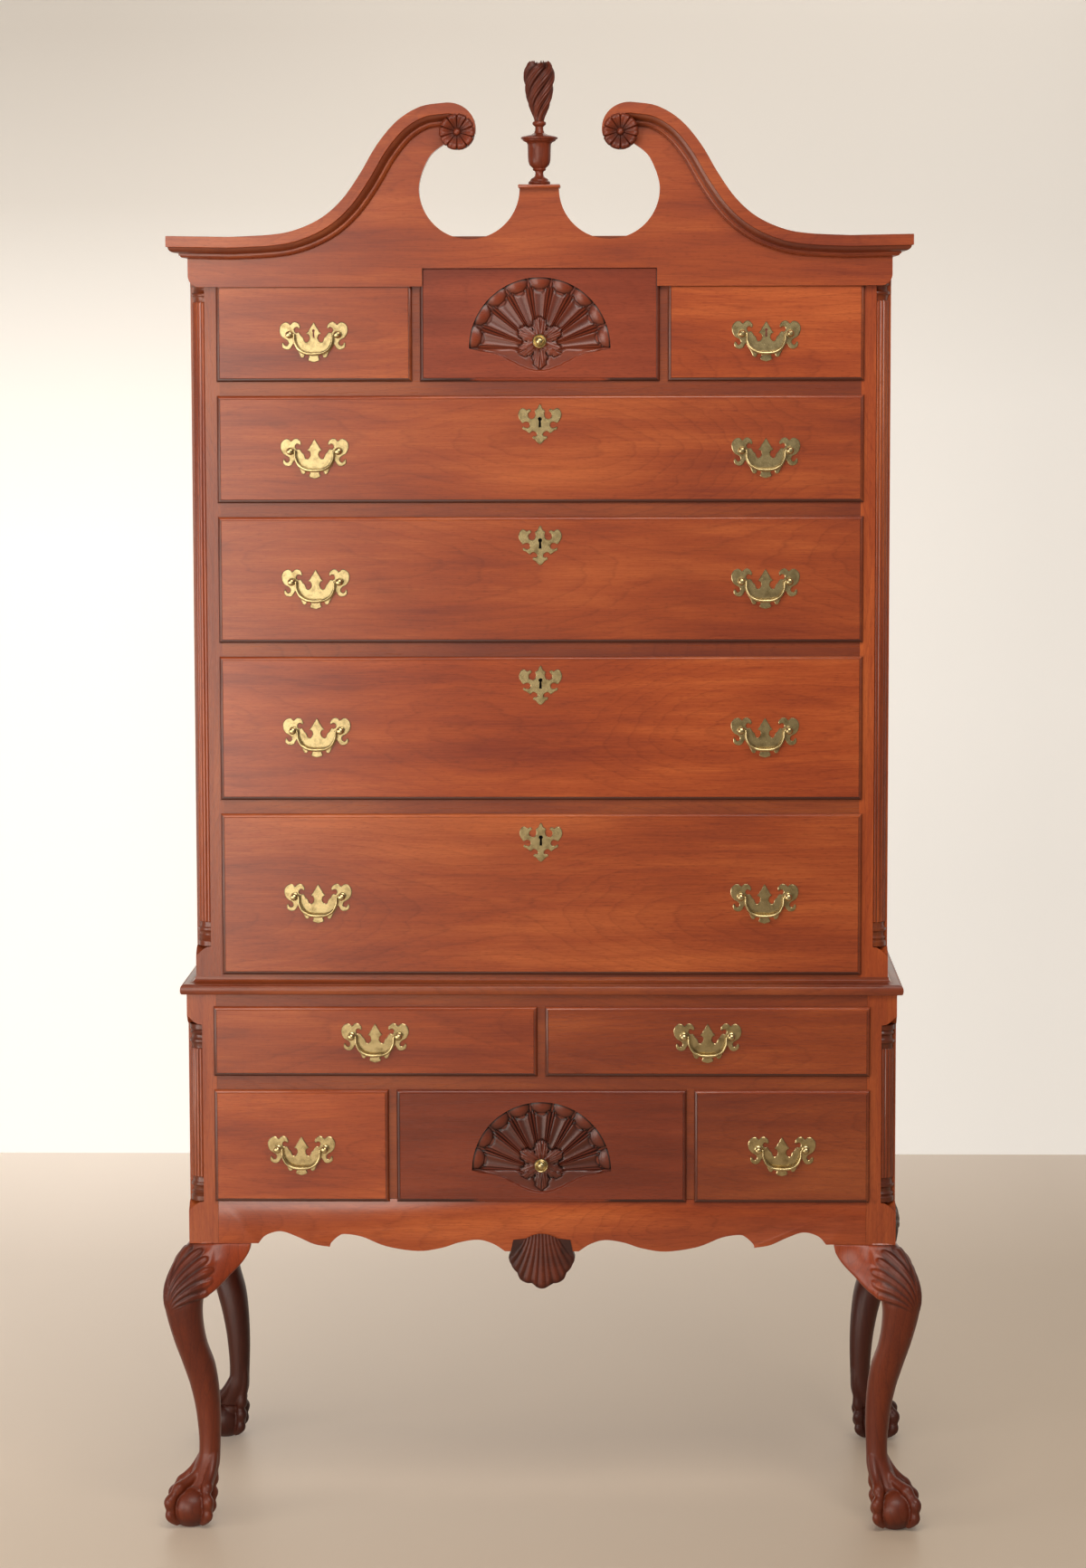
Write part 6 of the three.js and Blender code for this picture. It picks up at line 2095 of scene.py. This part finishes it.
    def build(self) -> None:
        """Builds the apron."""
        Piece("apron_board", self.board(), WALNUT, "case", "walnut", ("apron",), tone=0.0).make()
        Piece("apron_shell", self.shell(), CARVED, "case", "walnut", tone=self.shell_shade, crease=50).make()


@dataclass
class WaistMoulding:
    """The moulding round the foot of the upper case."""

    height: float = 24.0
    projection: float = 21.7
    upper: Box = field(default_factory=lambda: Box.of("upper_carcass"))
    foot: float = 791.3
    gap: float = 0.3
    # Share of the projection and of the height: a half round under a cove.
    shares: tuple[Point, ...] = (
        (0, 0), (0.86, 0), (0.93, 0.03), (0.98, 0.12), (1.0, 0.27), (0.985, 0.41), (0.94, 0.51), (0.86, 0.57),
        (0.78, 0.59), (0.77, 0.62), (0.66, 0.63), (0.44, 0.65), (0.28, 0.69), (0.17, 0.74), (0.1, 0.8),
        (0.08, 0.83), (0.05, 0.84), (0.04, 1.0), (0, 1.0))

    def build(self) -> None:
        """Builds the moulding with its two mitres."""
        half, face = self.upper.high.x + self.gap, self.upper.low.y - self.gap
        back = self.upper.high.y
        rows = []
        for x, y, out in ((-half, back, (-1, 0)), (-half, face, (-1, -1)), (half, face, (1, -1)),
                          (half, back, (1, 0))):
            rows.append([Vector((x + out[0] * p * self.projection, y + out[1] * p * self.projection,
                                 self.foot + h * self.height)) for p, h in self.shares])
        Piece("waist_moulding_run", skin(rows), WALNUT, "case", "walnut", ("waist_moulding",), tone=0.38,
              crease=28).make()


def seen_directly(tree: Tree) -> Socket:
    """Adds the share that is 1 for the camera, in reflections and through glass, and 0 for light.

    Args:
        tree: The node tree.

    Returns:
        That share.
    """
    path = add(tree, "ShaderNodeLightPath")
    seen = maths(tree, "ADD", path.outputs["Is Camera Ray"], path.outputs["Is Glossy Ray"])
    return add(tree, "ShaderNodeMath", {"operation": "ADD", "use_clamp": True}, {
        0: seen, 1: path.outputs["Is Transmission Ray"]}).outputs[0]


@dataclass(frozen=True)
class PaintAndGlow:
    """A plain matt paint with painted light: a glow, stronger on the left than on the right, that stands for
    daylight washing it out.

    The glow is seen by the camera, in reflections and through glass, and lights nothing.
    """

    name: str
    colour: str
    roughness: float
    axis: int
    span: Point
    # Each stop is a share of the span along the axis, and the glow's strength there.
    left_stops: tuple[Point, ...]
    right_stops: tuple[Point, ...]
    glow: str
    half: float = 1.0

    def material(self) -> bpy.types.Material:
        """Builds the material.

        Returns:
            The material.
        """
        material, tree, shader = blank_material(self.name)
        place = add(tree, "ShaderNodeTexCoord").outputs["Object"]
        # Faint clouds about 1.4 m across, like uneven light on plaster.
        cloud = add(tree, "ShaderNodeTexNoise", inputs={
            "Vector": place, "Scale": 0.7, "Detail": 2.0}).outputs[0]
        base = blended(tree, 0.05, linear(self.colour), cloud, "MULTIPLY")
        tree.links.new(base, shader.inputs["Base Color"])
        shader.inputs["Roughness"].default_value = self.roughness
        # Painted light: a glow that stands for daylight, brighter on the left.
        split = add(tree, "ShaderNodeSeparateXYZ", inputs={0: place})
        along = stretched(tree, split.outputs[self.axis], *self.span)
        left, right = (looked_up(tree, along, stops) for stops in (self.left_stops, self.right_stops))
        bright = mixed(tree, stretched(tree, split.outputs[0], -self.half, self.half), left, right)
        shader.inputs["Emission Color"].default_value = linear(self.glow)
        seen = maths(tree, "MULTIPLY", bright, seen_directly(tree))
        tree.links.new(seen, shader.inputs["Emission Strength"])
        # Seen from its back, a painted sheet is clear, so that the wall never hides the highboy.
        turned_away = add(tree, "ShaderNodeNewGeometry").outputs["Backfacing"]
        clear = add(tree, "ShaderNodeBsdfTransparent").outputs[0]
        sheet = add(tree, "ShaderNodeMixShader", inputs={0: turned_away, 1: shader.outputs[0], 2: clear})
        output = next(n for n in tree.nodes if n.type == "OUTPUT_MATERIAL")
        tree.links.new(sheet.outputs[0], output.inputs["Surface"])
        return material


# Painted light: the wall's glow runs from its foot up to 2.4 m, the floor's from 2 m in front of the case to
# the wall.
WALL_PAINT_AND_GLOW = PaintAndGlow(
    "backdrop_paint", "efe9e0", 0.8, 2, (0.0, 2.4),
    ((0.0, 0.7), (0.55, 0.68), (0.67, 0.57), (0.77, 0.4), (0.85, 0.25), (1.0, 0.13)),
    ((0.0, 0.45), (0.4, 0.46), (0.67, 0.42), (0.83, 0.31), (1.0, 0.24)), "fffdf8")
FLOOR_PAINT_AND_GLOW = PaintAndGlow(
    "floor_paint", "cdb9a0", 0.45, 1, (-2.0, 2.6),
    ((0.0, 0.0), (0.36, 0.14), (0.54, 0.22), (0.76, 0.31), (1.0, 0.53)),
    ((0.0, 0.0), (0.36, 0.03), (0.54, 0.04), (0.76, 0.09), (1.0, 0.23)), "fff0e2")


@dataclass
class Studio:
    """The camera, the floor, the backdrop and the lamps."""

    eye: tuple[float, float, float] = (143.1, -6249.4, 1720.5)
    yaw: float = -1.335
    pitch: float = 5.916
    roll: float = -0.137
    focal_pixels: float = 4602.7
    picture_height: float = 1733.0
    sensor: float = 36.0
    wall_y: float = 2.61
    floor_half: float = 30.0
    wall_half: float = 9.0
    wall_height: float = 6.0
    world_light: float = 0.2
    world_seen: float = 0.3
    slab: float = 0.02

    def camera(self) -> None:
        """Sets the camera at the photograph's place and angle."""
        data = bpy.data.cameras.new("camera")
        data.sensor_width = self.sensor
        data.lens = self.focal_pixels * self.sensor / self.picture_height
        data.clip_end = 60.0
        yaw, pitch, roll = (math.radians(a) for a in (self.yaw, self.pitch, self.roll))
        ahead = Vector((math.sin(yaw) * math.cos(pitch), math.cos(yaw) * math.cos(pitch), -math.sin(pitch)))
        right = Vector((math.cos(yaw), -math.sin(yaw), 0.0))
        up = right.cross(ahead)
        level, tipped = math.cos(roll), math.sin(roll)
        right, up = level * right + tipped * up, level * up - tipped * right
        turn = Matrix((right, up, -ahead)).transposed().to_4x4()
        camera = bpy.data.objects.new("camera", data)
        camera.matrix_world = Matrix.Translation(Vector(self.eye) * MM) @ turn
        bpy.context.scene.collection.objects.link(camera)
        bpy.context.scene.camera = camera

    def backdrop(self) -> None:
        """Builds the floor and the wall behind it."""
        half, wide = self.floor_half, self.wall_half
        sheet = bmesh.new()
        sheet.faces.new([sheet.verts.new((x, self.wall_y, z)) for x, z in (
            (-wide, 0.0), (wide, 0.0), (wide, self.wall_height), (-wide, self.wall_height))])
        for name, bm, paint in (("floor", block((-half, -half, -self.slab), (half, half, 0.0)), FLOOR_PAINT_AND_GLOW),
                                ("backdrop", sheet, WALL_PAINT_AND_GLOW)):
            mesh = bpy.data.meshes.new(name)
            bm.to_mesh(mesh)
            bm.free()
            mesh.materials.append(paint.material())
            made = bpy.data.objects.new(name, mesh)
            bpy.context.scene.collection.objects.link(made)

    def lamp(self, name: str, place: Sequence[float], aim: Sequence[float], size: Point, power: float,
             colour: str) -> None:
        """Adds a soft lamp.

        Args:
            name: The lamp's name.
            place: Where it stands, in metres.
            aim: Where it points, in metres.
            size: Its width and height, in metres.
            power: Its power in watts.
            colour: Its colour.
        """
        data = bpy.data.lights.new(name, "AREA")
        data.shape = "RECTANGLE"
        data.size, data.size_y = size
        data.energy = power
        data.color = linear(colour)[:3]
        lamp = bpy.data.objects.new(name, data)
        turn = (Vector(aim) - Vector(place)).to_track_quat("-Z", "Y")
        lamp.matrix_world = Matrix.Translation(place) @ turn.to_matrix().to_4x4()
        bpy.context.scene.collection.objects.link(lamp)

    def lights(self) -> None:
        """Sets the lamps and the world."""
        # The window's reflection gives the sheen on the left third of the drawers.
        self.lamp("window", (-1.88, -5.2, 1.3), (0.0, -0.25, 1.3), (2.2, 2.6), 85.0, "fff5e8")
        self.lamp("side", (-2.4, -2.0, 0.8), (0.0, 0.0, 0.9), (1.4, 1.6), 30.0, "fffaf5")
        self.lamp("ceiling", (0.4, -2.6, 3.2), (0.0, 0.0, 1.0), (2.4, 1.4), 62.0, "fff8f0")
        self.lamp("rear", (0.5, 2.3, 3.1), (0.0, 0.2, 1.0), (2.4, 1.0), 14.0, "fff8f0")
        world = bpy.data.worlds.new("studio")
        world.use_nodes = True
        tree = world.node_tree
        background = tree.nodes["Background"]
        background.inputs[0].default_value = linear("f6efe6")
        strength = stretched(tree, seen_directly(tree), low=self.world_light, high=self.world_seen)
        tree.links.new(strength, background.inputs[1])
        scene = bpy.context.scene
        scene.world = world
        scene.view_settings.view_transform = "Standard"

    def build(self) -> None:
        """Builds all of the studio."""
        self.camera()
        self.backdrop()
        self.lights()


# How much darker than its neighbours each plain drawer's board is: partly the boards' own differences, partly
# painted shade, heaviest on the lower right-hand drawers.
PLAIN_BAYS = {
    "top_left": 0.12, "top_right": 0.0, "long_1": 0.14, "long_2": 0.14, "long_3": 0.0, "long_4": 0.14,
    "lower_left": 0.14, "lower_right": 0.28, "base_left": 0.0, "base_right": 0.38,
}
SHELL_TONES = {"top": 0.0, "base": 0.18}
PULLS = {
    **{f"long_{n}_{side}": f"drawer_long_{n}" for n in range(1, 5) for side in ("left", "right")},
    **{bay: f"drawer_{bay}" for bay in PLAIN_BAYS if not bay.startswith("long")},
}


def main() -> None:
    """Builds the looks in order."""
    logging.basicConfig(level=logging.INFO, format="%(name)s: %(message)s")
    Studio().build()
    LOG.info("the studio is set")
    Case().build()
    LOG.info("the case is built")
    for bay, tone in PLAIN_BAYS.items():
        Drawer(bay, tone=tone).build()
    for row, tone in SHELL_TONES.items():
        Drawer(f"{row}_centre", SHELL_WALNUT, Shell(), tone=tone).build()
        Knob(row).build()
    LOG.info("the drawers are built")
    for node, body in PULLS.items():
        Pull(node, body).build()
    for number in range(1, 5):
        Escutcheon(number).build()
    LOG.info("the brass is hung")
    Pediment().build()
    LOG.info("the pediment is built")
    Leg().build()
    Apron().build()
    WaistMoulding().build()
    LOG.info("the stand is built")


if __name__ == "__main__":
    main()
